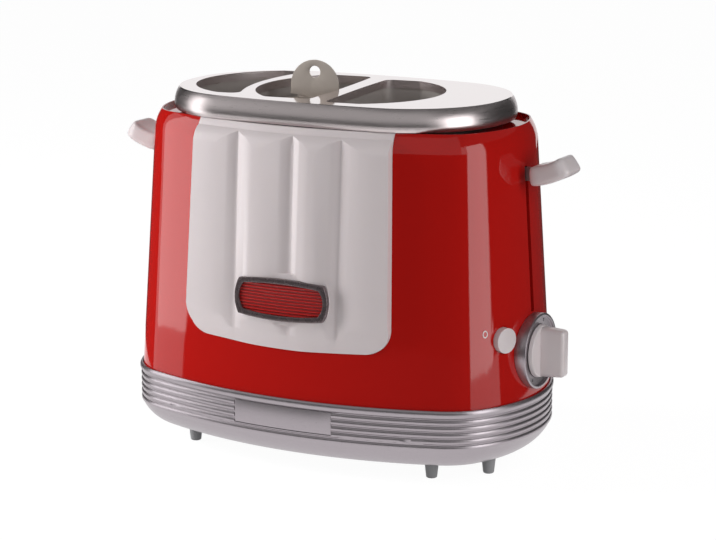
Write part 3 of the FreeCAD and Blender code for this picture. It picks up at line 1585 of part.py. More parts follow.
def build():
    wall = skirt_wall()
    base_skirt(wall)
    base_plate()
    feet()
    chassis_posts()
    base_screws()
    face = panel_prism()
    plate = panel_plate(face)
    body_shell(plate)
    front_panel(face, plate)
    badge()
    name_plate()
    top_cover()
    cover_seat()
    chutes()
    heaters()
    chassis_floor()
    for name, side, web in SIDES:
        end_frame("frame_" + name, side, web)
    guide_rods()
    carriage_bar()
    carriage_arms()
    guide_bushes()
    rests()
    levers()
    sausage_cage()
    cage_tab()
    dial_ring()
    control_knob()
    timer_body()
    stop_button()
    button_housing()
    lift_springs()
    latch_magnet()
    control_board()
    terminal_block()
    crumb_tray(wall)
    tray_rails()
    cord_gland()


def check_and_write():
    doc.recompute()
    bad = [obj.Name for obj in doc.Objects if "Invalid" in obj.State or "Error" in obj.State]
    if bad:
        raise RuntimeError(f"not valid: {bad}")
    bad = [
        piece.Label for piece in NODES
        if piece.Shape.isNull() or not piece.Shape.isValid() or not piece.Shape.Solids
    ]
    if bad:
        raise RuntimeError(f"no valid solid: {bad}")
    os.makedirs("parts", exist_ok=True)
    for piece in NODES:
        piece.Shape.exportStep(f"parts/{piece.Label}.step")
        print(f"{piece.Label}: {len(piece.Shape.Solids)} solids, {piece.Shape.Volume:.0f} mm3")


build()
check_and_write()
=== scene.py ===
"""Looks of a retro hot dog toaster: enamel shell, fluted panel, brushed cover and controls."""

import json
import math

import bmesh
import bpy
from mathutils import Matrix, Vector


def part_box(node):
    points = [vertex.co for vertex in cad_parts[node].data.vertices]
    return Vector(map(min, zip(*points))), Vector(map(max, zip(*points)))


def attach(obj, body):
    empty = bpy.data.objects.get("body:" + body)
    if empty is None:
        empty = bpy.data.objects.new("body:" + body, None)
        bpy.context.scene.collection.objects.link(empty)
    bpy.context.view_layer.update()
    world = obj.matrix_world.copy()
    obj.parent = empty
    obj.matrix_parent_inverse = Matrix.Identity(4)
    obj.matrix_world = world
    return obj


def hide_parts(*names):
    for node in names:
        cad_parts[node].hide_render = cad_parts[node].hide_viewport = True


bl_info = {
    "name": "Retro hot dog toaster",
    "version": (1, 0, 0),
    "blender": (4, 5, 0),
    "location": "View3D > Sidebar > Toaster",
    "description": "Dresses the toaster's frame with modelled pieces and finishes",
    "category": "Object",
}

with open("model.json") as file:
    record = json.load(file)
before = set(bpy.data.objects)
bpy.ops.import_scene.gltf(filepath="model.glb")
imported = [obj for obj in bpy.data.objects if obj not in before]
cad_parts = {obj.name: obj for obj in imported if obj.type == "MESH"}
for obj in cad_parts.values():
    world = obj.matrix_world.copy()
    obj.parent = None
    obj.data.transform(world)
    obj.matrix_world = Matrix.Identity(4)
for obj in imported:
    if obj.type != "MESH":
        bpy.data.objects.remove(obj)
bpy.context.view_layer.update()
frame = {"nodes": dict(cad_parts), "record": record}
MM = 0.001


# ---------------------------------------------------------------- sizes and colours


def length(label, note, millimetres):
    """A length property whose default is given in millimetres."""
    return bpy.props.FloatProperty(
        name=label, description=note, default=millimetres * MM, unit="LENGTH", precision=5
    )


def angle(label, note, degrees):
    """An angle property whose default is given in degrees."""
    return bpy.props.FloatProperty(
        name=label, description=note, default=math.radians(degrees), subtype="ANGLE"
    )


def ratio(label, note, value):
    """A property for one size over another."""
    return bpy.props.FloatProperty(
        name=label, description=note, default=value, soft_min=0, soft_max=2, subtype="FACTOR"
    )


def colour(label, note, hex_code):
    """A colour property as a hex code."""
    return bpy.props.StringProperty(name=label, description=note, default=hex_code)


class ToasterColours(bpy.types.PropertyGroup):
    """sRGB colours of the main finishes."""

    enamel: colour("Enamel", "Red stove enamel of the shell", "#BD1712")
    cream: colour("Cream", "Off-white moulded plastic", "#E4DADB")
    silver: colour("Silver", "Silver paint of the base", "#AEA6AB")
    steel: colour("Steel", "Steel of the top cover", "#DED4D4")
    insert: colour("Insert", "Red badge insert", "#CC1A18")


class ToasterLamps(bpy.types.PropertyGroup):
    """Lamp levels of the stage."""

    key: bpy.props.FloatProperty(
        name="Key", description="Power of the left lamp", default=13.5, unit="POWER"
    )
    fill: bpy.props.FloatProperty(
        name="Fill", description="Power of the right lamp", default=5.0, unit="POWER"
    )
    sky: bpy.props.FloatProperty(name="Sky", description="World strength", default=0.21)
    strip: bpy.props.FloatProperty(
        name="Strips", description="Strength of the softboxes mirrored in the gloss", default=2.8
    )


# ---------------------------------------------------------------- materials


def linear(hex_code):
    """sRGB hex to a linear colour."""
    channels = [int(hex_code[i : i + 2], 16) / 255 for i in (1, 3, 5)]
    return [c / 12.92 if c <= 0.04045 else ((c + 0.055) / 1.055) ** 2.4 for c in channels] + [1]


def add(tree, kind, inputs=None, **settings):
    """Adds a node with its settings; an input is a value or the socket that feeds it."""
    node = tree.nodes.new(kind)
    for name, value in settings.items():
        setattr(node, name, value)
    for name, value in (inputs or {}).items():
        if isinstance(value, bpy.types.NodeSocket):
            tree.links.new(value, node.inputs[name])
        else:
            node.inputs[name].default_value = value
    return node


def finish_of(name, **surface):
    """A new material and its tree with a Principled shader already wired."""
    material = bpy.data.materials.new(name)
    material.use_nodes = True
    tree = material.node_tree
    tree.nodes.clear()
    shader = add(tree, "ShaderNodeBsdfPrincipled", surface)
    add(tree, "ShaderNodeOutputMaterial", {"Surface": shader.outputs["BSDF"]})
    return material, tree, shader


def grain(tree, size, stretch=(1, 1, 1), detail=2.0):
    """Noise whose grains are about size metres across on the object."""
    place = add(tree, "ShaderNodeTexCoord")
    scaled = add(
        tree, "ShaderNodeMapping", {"Vector": place.outputs["Object"], "Scale": stretch}
    )
    return add(
        tree, "ShaderNodeTexNoise",
        {"Vector": scaled.outputs["Vector"], "Scale": 1 / size, "Detail": detail},
    ).outputs["Fac"]


NOISE_LOW, NOISE_HIGH = 0.3, 0.7  # most of a noise pattern lies between these


def spread(tree, value, low, high, start=NOISE_LOW, end=NOISE_HIGH):
    """Maps a pattern's range from start to end onto low to high."""
    return add(
        tree, "ShaderNodeMapRange",
        {"Value": value, "From Min": start, "From Max": end, "To Min": low, "To Max": high},
    ).outputs["Result"]


def relief(tree, shader, height, depth):
    """Bumps a surface by a pattern, depth metres deep."""
    bump = add(tree, "ShaderNodeBump", {"Height": height, "Distance": depth, "Strength": 1.0})
    tree.links.new(bump.outputs["Normal"], shader.inputs["Normal"])


def two_tone(tree, shader, value, first, second):
    """Colours a surface from first to second by a pattern, to paint shade into it."""
    ramp = add(tree, "ShaderNodeMix", {"Factor": value, "A": first, "B": second}, data_type="RGBA")
    tree.links.new(ramp.outputs["Result"], shader.inputs["Base Color"])


def stove_enamel(hex_code):
    """Glossy stove enamel: hard clear gloss over a deep red, with a faint, long orange peel."""
    material, tree, shader = finish_of(
        "stove_enamel", **{"Base Color": linear(hex_code), "Roughness": 0.05, "IOR": 1.52}
    )
    relief(tree, shader, grain(tree, 11 * MM), 0.015 * MM)
    return material


def moulded_abs(hex_code):
    """Injection-moulded ABS: even colour, soft gloss and a fine mould texture."""
    material, tree, shader = finish_of(
        "moulded_abs",
        **{"Base Color": linear(hex_code), "Roughness": 0.28, "IOR": 1.54,
           "Subsurface Weight": 0.04, "Subsurface Radius": (2 * MM, 1.5 * MM, 1 * MM)}
    )
    relief(tree, shader, grain(tree, 0.7 * MM), 0.006 * MM)
    return material


def ribbed_abs(hex_code):
    """Glossy ABS with fine moulded ribs that catch the light as lines, with painted shade in their
    grooves.
    """
    rib_pitch, rib_depth, painted_groove_shade = 1.9 * MM, 0.6 * MM, 0.3
    material, tree, shader = finish_of(
        "ribbed_abs", **{"Base Color": linear(hex_code), "Roughness": 0.2, "IOR": 1.54}
    )
    place = add(tree, "ShaderNodeTexCoord")
    ribs = add(
        tree, "ShaderNodeTexWave",
        {"Vector": place.outputs["Object"], "Scale": math.pi / 10 / rib_pitch},
        wave_type="BANDS", bands_direction="Z", wave_profile="SIN",
    )
    relief(tree, shader, ribs.outputs["Fac"], rib_depth)
    crest = linear(hex_code)
    # painted shade: the grooves are coloured darker than the crests, where shade falls between the
    # ribs
    painted_groove_colour = [channel * painted_groove_shade for channel in crest[:3]] + [1]
    two_tone(tree, shader, ribs.outputs["Fac"], painted_groove_colour, crest)
    return material


def silver_paint(hex_code):
    """Metallic spray paint: fine flakes give a satin sheen with a slight sparkle.

    They are drawn coarser than real ones, so that they show.
    """
    material, tree, shader = finish_of(
        "silver_paint", **{"Base Color": linear(hex_code), "Metallic": 0.9, "Roughness": 0.32}
    )
    flakes = grain(tree, 0.35 * MM, detail=4.0)
    tree.links.new(spread(tree, flakes, 0.26, 0.4), shader.inputs["Roughness"])
    relief(tree, shader, flakes, 0.008 * MM)
    return material


def cover_steel(hex_code, flat_z):
    """Steel cover: the flat top polished like a mirror, the band below it finely brushed.

    The brushing is drawn coarser than real scratches, so that it shows.
    """
    band_end, polish_start, mirror_rough = flat_z - 0.6 * MM, flat_z - 0.1 * MM, 0.07
    material, tree, shader = finish_of(
        "cover_steel", **{"Base Color": linear(hex_code), "Metallic": 1.0}
    )
    place = add(tree, "ShaderNodeTexCoord")
    height = add(tree, "ShaderNodeSeparateXYZ", {0: place.outputs["Object"]}).outputs["Z"]
    flat = spread(tree, height, 0.0, 1.0, band_end, polish_start)
    scratches = grain(tree, 0.3 * MM, (0.02, 0.02, 1), 3.0)
    brushed = spread(tree, scratches, 0.27, 0.38)
    polish = add(
        tree, "ShaderNodeMix", {"Factor": flat, "A": brushed, "B": mirror_rough},
        data_type="FLOAT",
    )
    tree.links.new(polish.outputs["Result"], shader.inputs["Roughness"])
    band = add(tree, "ShaderNodeMath", {0: 1.0, 1: flat}, operation="SUBTRACT").outputs[0]
    faded = add(tree, "ShaderNodeMath", {0: scratches, 1: band}, operation="MULTIPLY")
    relief(tree, shader, faded.outputs[0], 0.003 * MM)
    return material


def plain_metal(hex_code, name, rough=0.3, metallic=1.0):
    """Pressed sheet, plating or turned steel: slightly cloudy gloss, duller where less metallic."""
    material, tree, shader = finish_of(
        name, **{"Base Color": linear(hex_code), "Metallic": metallic, "Roughness": rough}
    )
    cloud = grain(tree, 5 * MM, detail=3.0)
    tree.links.new(spread(tree, cloud, rough * 0.8, rough * 1.3), shader.inputs["Roughness"])
    return material


def dull_plastic(hex_code, name, rough=0.55):
    """Matt moulding or rubber: fine, even grain."""
    material, tree, shader = finish_of(
        name, **{"Base Color": linear(hex_code), "Roughness": rough}
    )
    relief(tree, shader, grain(tree, 0.5 * MM), 0.02 * MM)
    return material


FINISH = {}  # finishes by material slot, and the two inks
EDGE_ROUNDS = {  # rounding of real edges, in mm
    "stop_button": 1.2, "badge_frame": 0.7, "name_plate": 0.4, "cage_tab": 0.3, "dial_ring": 0.5,
}
WELD_GAP = 0.02 * MM  # corners nearer than this become one
SEAM_GAP = 0.03 * MM  # the same where the skirt's mirrored stretch meets the rest
PRINT_GAP = 0.001 * MM  # the same in the dial numbers
CUT_GAP = 0.0001 * MM  # corners nearer than this to a cut lie on it
FRAME_SHARP = math.radians(32)  # edges of the frame's pieces at least this sharp stay sharp
PIECE_SHARP = math.radians(35)  # the same for modelled pieces
ROUNDED_ANGLE = math.radians(40)  # edges at least this sharp are rounded


def dress(node, finish):
    """Gives a node of the frame a finish and shades it smooth between its real edges."""
    obj = frame["nodes"][node]
    obj.data.materials.clear()
    obj.data.materials.append(finish)
    for polygon in obj.data.polygons:
        polygon.use_smooth = True
    weld = obj.modifiers.new("weld", "WELD")
    weld.merge_threshold = WELD_GAP
    if node in EDGE_ROUNDS:
        rounds = obj.modifiers.new("rounds", "BEVEL")
        rounds.width = EDGE_ROUNDS[node] * MM
        rounds.segments = 3
        rounds.angle_limit = ROUNDED_ANGLE
    edges = obj.modifiers.new("edges", "EDGE_SPLIT")
    edges.split_angle = FRAME_SHARP


class TOASTER_OT_finishes(bpy.types.Operator):
    """Makes the finishes and dresses the frame's own pieces"""

    bl_idname = "toaster.finishes"
    bl_label = "Finishes"

    def execute(self, context):
        colours = context.scene.toaster_colours
        FINISH.update(
            red_paint=stove_enamel(colours.enamel),
            cream_plastic=moulded_abs(colours.cream),
            silver_paint=silver_paint(colours.silver),
            brushed_cover=cover_steel(colours.steel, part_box("top_cover")[1].z),
            bright_sheet=plain_metal("#D9D2CE", "satin_sheet", 0.4, metallic=0.55),
            dark_chrome=plain_metal("#7A6E70", "dark_chrome", 0.25, metallic=0.7),
            red_insert=ribbed_abs(colours.insert),
            black_ink=dull_plastic("#1A1A1C", "black_ink", 0.5),
            white_ink=dull_plastic("#F2E4E2", "white_ink", 0.4),
            grey_plastic=dull_plastic("#5E5E60", "grey_polypropylene"),
            foot_rubber=dull_plastic("#A5A5A7", "grey_rubber", 0.6),
            zinc_sheet=plain_metal("#A9ABAD", "zinc_plated_sheet", 0.38),
            screw_steel=plain_metal("#9C9C9E", "turned_steel", 0.3),
            dark_plastic=dull_plastic("#1B1B1D", "black_nylon"),
            mica_board=dull_plastic("#A3937A", "mica_board", 0.45),
            heating_wire=plain_metal("#5A5552", "oxidised_wire", 0.5),
            circuit_board=dull_plastic("#20502E", "circuit_board", 0.4),
            cage_steel=plain_metal("#E3D8CE", "satin_nickel", 0.45, metallic=0.5),
            spring_steel=plain_metal("#8C8C8E", "spring_steel", 0.3),
        )
        for entry in frame["record"]["subparts"]:
            dress(entry["node"], FINISH[entry["material_slot"]])
        return {"FINISHED"}


# ---------------------------------------------------------------- modelling helpers


def ring_edges(bm, test):
    """Edges whose two ends both pass a test."""
    return [edge for edge in bm.edges if all(test(vert.co) for vert in edge.verts)]


def soften(bm, edges, width, segments=4):
    """Rounds edges."""
    bmesh.ops.bevel(
        bm, geom=edges, offset=width, offset_type="OFFSET", segments=segments, profile=0.5,
        affect="EDGES", clamp_overlap=True, material=-1,
    )


def add_block(bm, centre, size, width, segments):
    """A block with softened edges."""
    made = bmesh.ops.create_cube(bm, size=1)["verts"]
    bmesh.ops.scale(bm, vec=size, verts=made)
    bmesh.ops.translate(bm, vec=centre, verts=made)
    corners = set(made)
    soften(bm, [edge for edge in bm.edges if edge.verts[0] in corners], width, segments)


def add_turned(bm, centre, low_r, high_r, depth, turn=None, segments=48):
    """A truncated cone about its middle, optionally turned."""
    made = bmesh.ops.create_cone(
        bm, cap_ends=True, cap_tris=False, segments=segments, radius1=low_r, radius2=high_r,
        depth=depth, matrix=turn or Matrix(),
    )["verts"]
    bmesh.ops.translate(bm, vec=centre, verts=made)


def piece(name, bm, finish, body, stands_for=()):
    """Turns a bmesh into a shown object that rides a body."""
    bmesh.ops.recalc_face_normals(bm, faces=bm.faces)
    for face in bm.faces:
        face.smooth = True
    mesh = bpy.data.meshes.new(name)
    bm.to_mesh(mesh)
    bm.free()
    mesh.materials.append(finish)
    obj = bpy.data.objects.new(name, mesh)
    bpy.context.scene.collection.objects.link(obj)
    obj.modifiers.new("edges", "EDGE_SPLIT").split_angle = PIECE_SHARP
    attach(obj, body)
    if stands_for:
        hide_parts(*stands_for)
    return obj


QUARTER = math.radians(90)
ALONG_X = Matrix.Rotation(QUARTER, 4, "Y")


# ---------------------------------------------------------------- front panel


class ToasterFlutes(bpy.types.PropertyGroup):
    """How far the panel's flutes shift along the front."""

    pitch: length("Pitch", "Distance between the frame's valleys", 40)
    reach: length("Reach", "Distance from a valley at which its shift ends", 22)
    left: length("Left valley", "Shift of the left valley", 6)
    middle: length("Middle valley", "Shift of the middle valley", 5)
    right: length("Right valley", "Shift of the right valley", -3.6)


class TOASTER_OT_flutes(bpy.types.Operator):
    """Spaces the panel's flutes"""

    bl_idname = "toaster.flutes"
    bl_label = "Flutes"

    def execute(self, context):
        sizes = context.scene.toaster_flutes
        low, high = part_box("front_panel")
        cage = bpy.data.lattices.new("flute_spacing")
        columns, boost = 15, 1.08  # the boost makes up for what the spline smooths away
        depth = 0.3  # metres, well past the panel's own
        cage.points_u, cage.points_v, cage.points_w = columns, 2, 2
        cage.interpolation_type_u = "KEY_BSPLINE"
        spacer = bpy.data.objects.new("flute_spacing", cage)
        context.scene.collection.objects.link(spacer)
        spacer.location = (low + high) / 2
        spacer.scale = ((high.x - low.x) / (columns - 1), depth, high.z - low.z)
        for point in cage.points:
            place = point.co.x * spacer.scale.x + spacer.location.x
            for step, shift in ((-1, sizes.left), (0, sizes.middle), (1, sizes.right)):
                near = max(0.0, 1 - ((place - step * sizes.pitch) / sizes.reach) ** 2)
                point.co_deform.x += near * shift * boost / spacer.scale.x
        bend = frame["nodes"]["front_panel"].modifiers.new("flutes", "LATTICE")
        bend.object = spacer
        return {"FINISHED"}


# ---------------------------------------------------------------- dial, knob and off mark


class ToasterControls(bpy.types.PropertyGroup):
    """Sizes of the dial's knob and of the printed marks."""

    knob_round: length("Knob rounding", "Rounding of the grip's edges", 2.6)
    knob_taper: ratio("Knob taper", "Size of the grip's end over its foot", 0.95)
    knob_disc: length("Knob disc", "Thickness of the disc behind the grip", 2.6)
    knob_sink: length("Knob sink", "Depth of the disc in the dial ring", 1.2)
    disc_draft: length("Disc draft", "How much smaller the disc's front is", 0.5)
    disc_round: length("Disc rounding", "Rounding of the disc's front edge", 0.7)
    grip_width: length("Grip width", "Thickness of the grip", 9)
    grip_height: ratio("Grip height", "Height of the grip over the disc's radius", 1.88)
    number_radius: length("Number circle", "Dial numbers from the dial's centre", 18.9)
    number_height: length("Number height", "Height of the dial numbers", 2.6)
    number_sink: length("Dial face", "Depth of the printed face behind the ring's rim", 1.6)
    number_count: bpy.props.IntProperty(
        name="Numbers", description="Count of dial numbers", default=6
    )
    number_first: angle("First number", "Anticlockwise from the dial's right", 118)
    number_step: angle("Number step", "Angle between two numbers", 47)
    ink: length("Ink", "Thickness of the printed marks", 0.06)
    off_width: length("Off mark", "Width of the off mark", 3.6)
    off_height: length("Off mark height", "Height of the off mark", 4.6)
    off_bore: ratio("Off mark bore", "Inner over outer size of the off mark", 0.68)
    off_x: length("Off mark X", "Place of the off mark on the shell", 118.88)
    off_y: length("Off mark Y", "Place of the off mark on the shell", -43.44)
    off_z: length("Off mark Z", "Place of the off mark on the shell", 92.8)
    off_turn: angle("Off mark turn", "Way that the shell faces there, from the front", 61)
    off_lean: angle("Off mark lean", "Lean of the shell there", 3.7)


class TOASTER_OT_controls(bpy.types.Operator):
    """Models the knob, the dial numbers and the off mark"""

    bl_idname = "toaster.controls"
    bl_label = "Controls"

    def execute(self, context):
        sizes = context.scene.toaster_controls
        self.knob(sizes)
        self.numbers(sizes)
        self.off_mark(sizes)
        return {"FINISHED"}

    def knob(self, sizes):
        """Upright grip on a round disc."""
        low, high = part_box("control_knob")
        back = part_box("dial_ring")[1].x - sizes.knob_sink
        middle = (low.z + high.z) / 2
        radius = (high.z - low.z) / 2
        bm = bmesh.new()
        add_turned(
            bm, (back + sizes.knob_disc / 2, 0, middle), radius, radius - sizes.disc_draft,
            sizes.knob_disc, ALONG_X, 72,
        )
        rim = ring_edges(bm, lambda co: co.x > back + sizes.knob_disc / 2)
        soften(bm, rim, sizes.disc_round, 3)
        add_block(
            bm, ((back + high.x) / 2, 0, middle),
            (high.x - back, sizes.grip_width, radius * sizes.grip_height), sizes.knob_round, 6,
        )
        end = [vert for vert in bm.verts if vert.co.x > back + sizes.knob_disc * 2]
        bmesh.ops.scale(
            bm, vec=(1, sizes.knob_taper, sizes.knob_taper), verts=end,
            space=Matrix.Translation((0, 0, -middle)),
        )
        piece("knob_grip", bm, FINISH["cream_plastic"], "knob", ["control_knob"])

    def numbers(self, sizes):
        """Plain printed numbers round the dial."""
        low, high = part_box("dial_ring")
        middle = (low.z + high.z) / 2
        face = high.x - sizes.number_sink
        upright = Matrix.Rotation(QUARTER, 4, "Z") @ Matrix.Rotation(QUARTER, 4, "X")
        for number in range(1, sizes.number_count + 1):
            turn = sizes.number_first - (number - 1) * sizes.number_step
            text = bpy.data.curves.new(f"number_{number}", "FONT")
            text.body = str(number)
            text.size = sizes.number_height
            text.align_x = "CENTER"
            text.align_y = "CENTER"
            text.extrude = sizes.ink
            shape = bpy.data.objects.new("number_shape", text)
            mesh = bpy.data.meshes.new_from_object(shape)
            bpy.data.objects.remove(shape)
            bm = bmesh.new()
            bm.from_mesh(mesh)
            bpy.data.meshes.remove(mesh)
            place = Vector((
                face + sizes.ink, math.cos(turn) * sizes.number_radius,
                middle + math.sin(turn) * sizes.number_radius,
            ))
            bmesh.ops.transform(bm, matrix=Matrix.Translation(place) @ upright, verts=bm.verts)
            bmesh.ops.remove_doubles(bm, verts=bm.verts, dist=PRINT_GAP)
            piece(f"number_{number}", bm, FINISH["black_ink"], "base")

    def off_mark(self, sizes):
        """Oval outline printed on the shell beside the stop button."""
        bm = bmesh.new()
        bmesh.ops.create_circle(bm, segments=40, radius=0.5)
        bmesh.ops.create_circle(bm, segments=40, radius=0.5 * sizes.off_bore)
        bmesh.ops.bridge_loops(bm, edges=bm.edges[:])
        bmesh.ops.scale(bm, vec=(sizes.off_width, sizes.off_height, 1), verts=bm.verts)
        bmesh.ops.solidify(bm, geom=bm.faces[:], thickness=sizes.ink)
        turn = Matrix.Rotation(sizes.off_turn, 4, "Z") @ Matrix.Rotation(
            QUARTER - sizes.off_lean, 4, "X"
        )
        place = Matrix.Translation((sizes.off_x, sizes.off_y, sizes.off_z))
        bmesh.ops.transform(bm, matrix=place @ turn, verts=bm.verts)
        piece("off_mark", bm, FINISH["white_ink"], "base")


# ---------------------------------------------------------------- levers


class ToasterLevers(bpy.types.PropertyGroup):
    """Sizes of the two finger levers."""

    curve: length("Curve", "Radius of the handle's upward curve", 46)
    thick: length("Thickness", "Thickness of a handle", 11.8)
    width: length("Width", "Width of a handle", 24)
    stem: length("Stem", "Height of the stem that the handle sits on", 182.5)
    inset: length("Inset", "How far the handle starts outside the frame's own", 0.6)
    start: angle("Start", "Inner end, under the horizontal", 85)
    stop: angle("Stop", "Outer end, under the horizontal", 54)
    root_width: ratio("Root", "Share of the width left at the inner end", 0.94)
    nose_width: ratio("Nose", "Share of the width left at the outer end", 0.78)


class TOASTER_OT_levers(bpy.types.Operator):
    """Models the curved finger levers"""

    bl_idname = "toaster.levers"
    bl_label = "Levers"

    def execute(self, context):
        sizes = context.scene.toaster_levers
        for label, side in (("left_lever", -1), ("right_lever", 1)):
            self.lever(sizes, label, side)
        return {"FINISHED"}

    def lever(self, sizes, label, side):
        """A bar bent upwards with soft edges and a nose drawn in at its sides."""
        low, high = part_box(label)
        start, steps = sizes.start, 6
        step = (sizes.start - sizes.stop) / steps
        centre = Vector((
            min(abs(low.x), abs(high.x)) + sizes.inset - math.cos(start) * sizes.curve, 0,
            sizes.stem + math.sin(start) * sizes.curve,
        ))
        bm = bmesh.new()
        section = bmesh.ops.create_grid(bm, x_segments=2, y_segments=4, size=0.5)["verts"]
        bmesh.ops.scale(bm, vec=(sizes.thick, sizes.width, 1), verts=section)
        bmesh.ops.translate(bm, vec=(sizes.curve, 0, 0), verts=section)
        bmesh.ops.transform(
            bm, matrix=Matrix.Translation(centre) @ Matrix.Rotation(start, 4, "Y"), verts=section
        )
        bmesh.ops.spin(
            bm, geom=bm.faces[:] + bm.edges[:] + bm.verts[:], cent=centre, axis=(0, -1, 0),
            angle=step * steps, steps=steps, use_duplicate=False,
        )
        for ring, share in ((0, sizes.root_width), (steps, sizes.nose_width)):
            verts = [
                vert for vert in bm.verts
                if abs(math.atan2(centre.z - vert.co.z, vert.co.x - centre.x)
                       - start + ring * step) < step / 4
            ]
            bmesh.ops.scale(bm, vec=(1, share, 1), verts=verts)
        bmesh.ops.scale(bm, vec=(side, 1, 1), verts=bm.verts)
        obj = piece(
            label + "_handle", bm, FINISH["cream_plastic"], "carriage", [label]
        )
        obj.modifiers.clear()
        rounding = obj.modifiers.new("rounding", "SUBSURF")
        rounding.levels = rounding.render_levels = 3


# ---------------------------------------------------------------- skirt and feet


class ToasterRibs(bpy.types.PropertyGroup):
    """Where the skirt's right front takes the shape of its left front."""

    inner: length("From", "Start of the mirrored stretch from the middle", 40)
    outer: length("To", "End of the mirrored stretch from the middle", 92)


class TOASTER_OT_ribs(bpy.types.Operator):
    """Rebuilds the ribbed skirt with even ribs along its front"""

    bl_idname = "toaster.ribs"
    bl_label = "Ribs"

    def execute(self, context):
        sizes = context.scene.toaster_ribs
        source = frame["nodes"]["base_skirt"]
        bm = bmesh.new()
        bm.from_mesh(source.data)
        bmesh.ops.transform(bm, matrix=source.matrix_world, verts=bm.verts)
        bmesh.ops.remove_doubles(bm, verts=bm.verts, dist=WELD_GAP)
        for x in (-sizes.outer, -sizes.inner, sizes.inner, sizes.outer):
            bmesh.ops.bisect_plane(
                bm, geom=bm.faces[:] + bm.edges[:] + bm.verts[:], dist=CUT_GAP,
                plane_co=(x, 0, 0), plane_no=(1, 0, 0),
            )
        bm.normal_update()
        left, right = [], []
        for face in bm.faces:
            middle = face.calc_center_median()
            if middle.y < 0 and sizes.inner < abs(middle.x) < sizes.outer:
                (left if middle.x < 0 else right).append(face)
        made = bmesh.ops.duplicate(bm, geom=left)["geom"]
        corners = [item for item in made if isinstance(item, bmesh.types.BMVert)]
        faces = [item for item in made if isinstance(item, bmesh.types.BMFace)]
        bmesh.ops.delete(bm, geom=right, context="FACES")
        bmesh.ops.scale(bm, vec=(-1, 1, 1), verts=corners)
        bmesh.ops.reverse_faces(bm, faces=faces)
        bmesh.ops.remove_doubles(bm, verts=bm.verts, dist=SEAM_GAP)
        piece(
            "ribbed_skirt", bm, FINISH["silver_paint"], "base", ["base_skirt"]
        )
        return {"FINISHED"}


class ToasterFeet(bpy.types.PropertyGroup):
    """Sizes of the feet."""

    top_radius: length("Top radius", "Foot radius at the underside", 4.6)
    tip_radius: length("Tip radius", "Foot radius on the table", 3.3)
    tip_round: length("Tip rounding", "Rounding round the tip", 0.9)


FEET = ((84, 43), (84, -43), (-84, 43), (-84, -43), (110, -18), (-110, 18), (-110, -18))  # mm


class TOASTER_OT_feet(bpy.types.Operator):
    """Models the tapered feet"""

    bl_idname = "toaster.feet"
    bl_label = "Feet"

    def execute(self, context):
        sizes = context.scene.toaster_feet
        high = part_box("feet")[1].z
        bm = bmesh.new()
        for x, y in FEET:
            add_turned(
                bm, (x * MM, y * MM, high / 2), sizes.tip_radius, sizes.top_radius, high
            )
        soften(bm, ring_edges(bm, lambda co: co.z < high / 10), sizes.tip_round)
        piece("feet_moulded", bm, FINISH["foot_rubber"], "base", ["feet"])
        return {"FINISHED"}


# ---------------------------------------------------------------- stage

CAMERA_PLACE = Vector((716.4, -1289.3, 434.5)) * MM
CAMERA_TARGET = Vector((9.8, 0, 111.8)) * MM
CAMERA_LENS, FILM_WIDTH = 121.5, 36  # mm
TABLE_DROP = 0.2 * MM  # keeps the table just clear of the feet
TABLE_WHITE = 0.87  # share of plain white in the table, the rest takes the shadow
DARK = 0.03  # glow of the darkest cards
# Cards: first and last azimuth in degrees from the front, lower and upper edge and distance in
# metres, and glow. A card without a glow is a softbox.
CARDS = {
    "flat_front": (-56, 66, 0.0, 0.24, 0.62, DARK),
    "flat_above": (-60, 57, 0.24, 0.9, 0.62, 0.42),
    "flat_left": (-122, -80, 0.0, 1.1, 0.62, DARK),
    "flat_right": (97, 172, 0.0, 0.42, 0.62, DARK),
    "flat_low": (-58, 66, 0.0, 0.05, 0.36, 0.05),
    "flat_near_left": (-158, -76, 0.0, 0.15, 0.36, 0.04),
    "flat_near_right": (97, 185, 0.0, 0.15, 0.36, 0.04),
    "softbox_left": (-74, -60, 0.0, 0.5, 0.60, None),
    "softbox_right": (67, 96, 0.0, 0.42, 0.60, None),
    "flat_high": (-122, -60, 0.5, 0.9, 0.62, 0.15),
    "flat_high_right": (57, 172, 0.42, 0.9, 0.62, 0.12),
}
OVERHEAD_HEIGHT, OVERHEAD_RADIUS, OVERHEAD_GLOW = 0.85, 0.6, 0.1
LAMPS = {  # place in metres, and which level it burns at
    "left_lamp": ((-1.09, -0.51, 0.5), "key"),
    "right_lamp": ((1.17, -0.3, 0.5), "fill"),
}
LAMP_SIZE = (0.4, 0.9)  # metres
LAMP_TARGET = Vector((0, 0, 0.12))


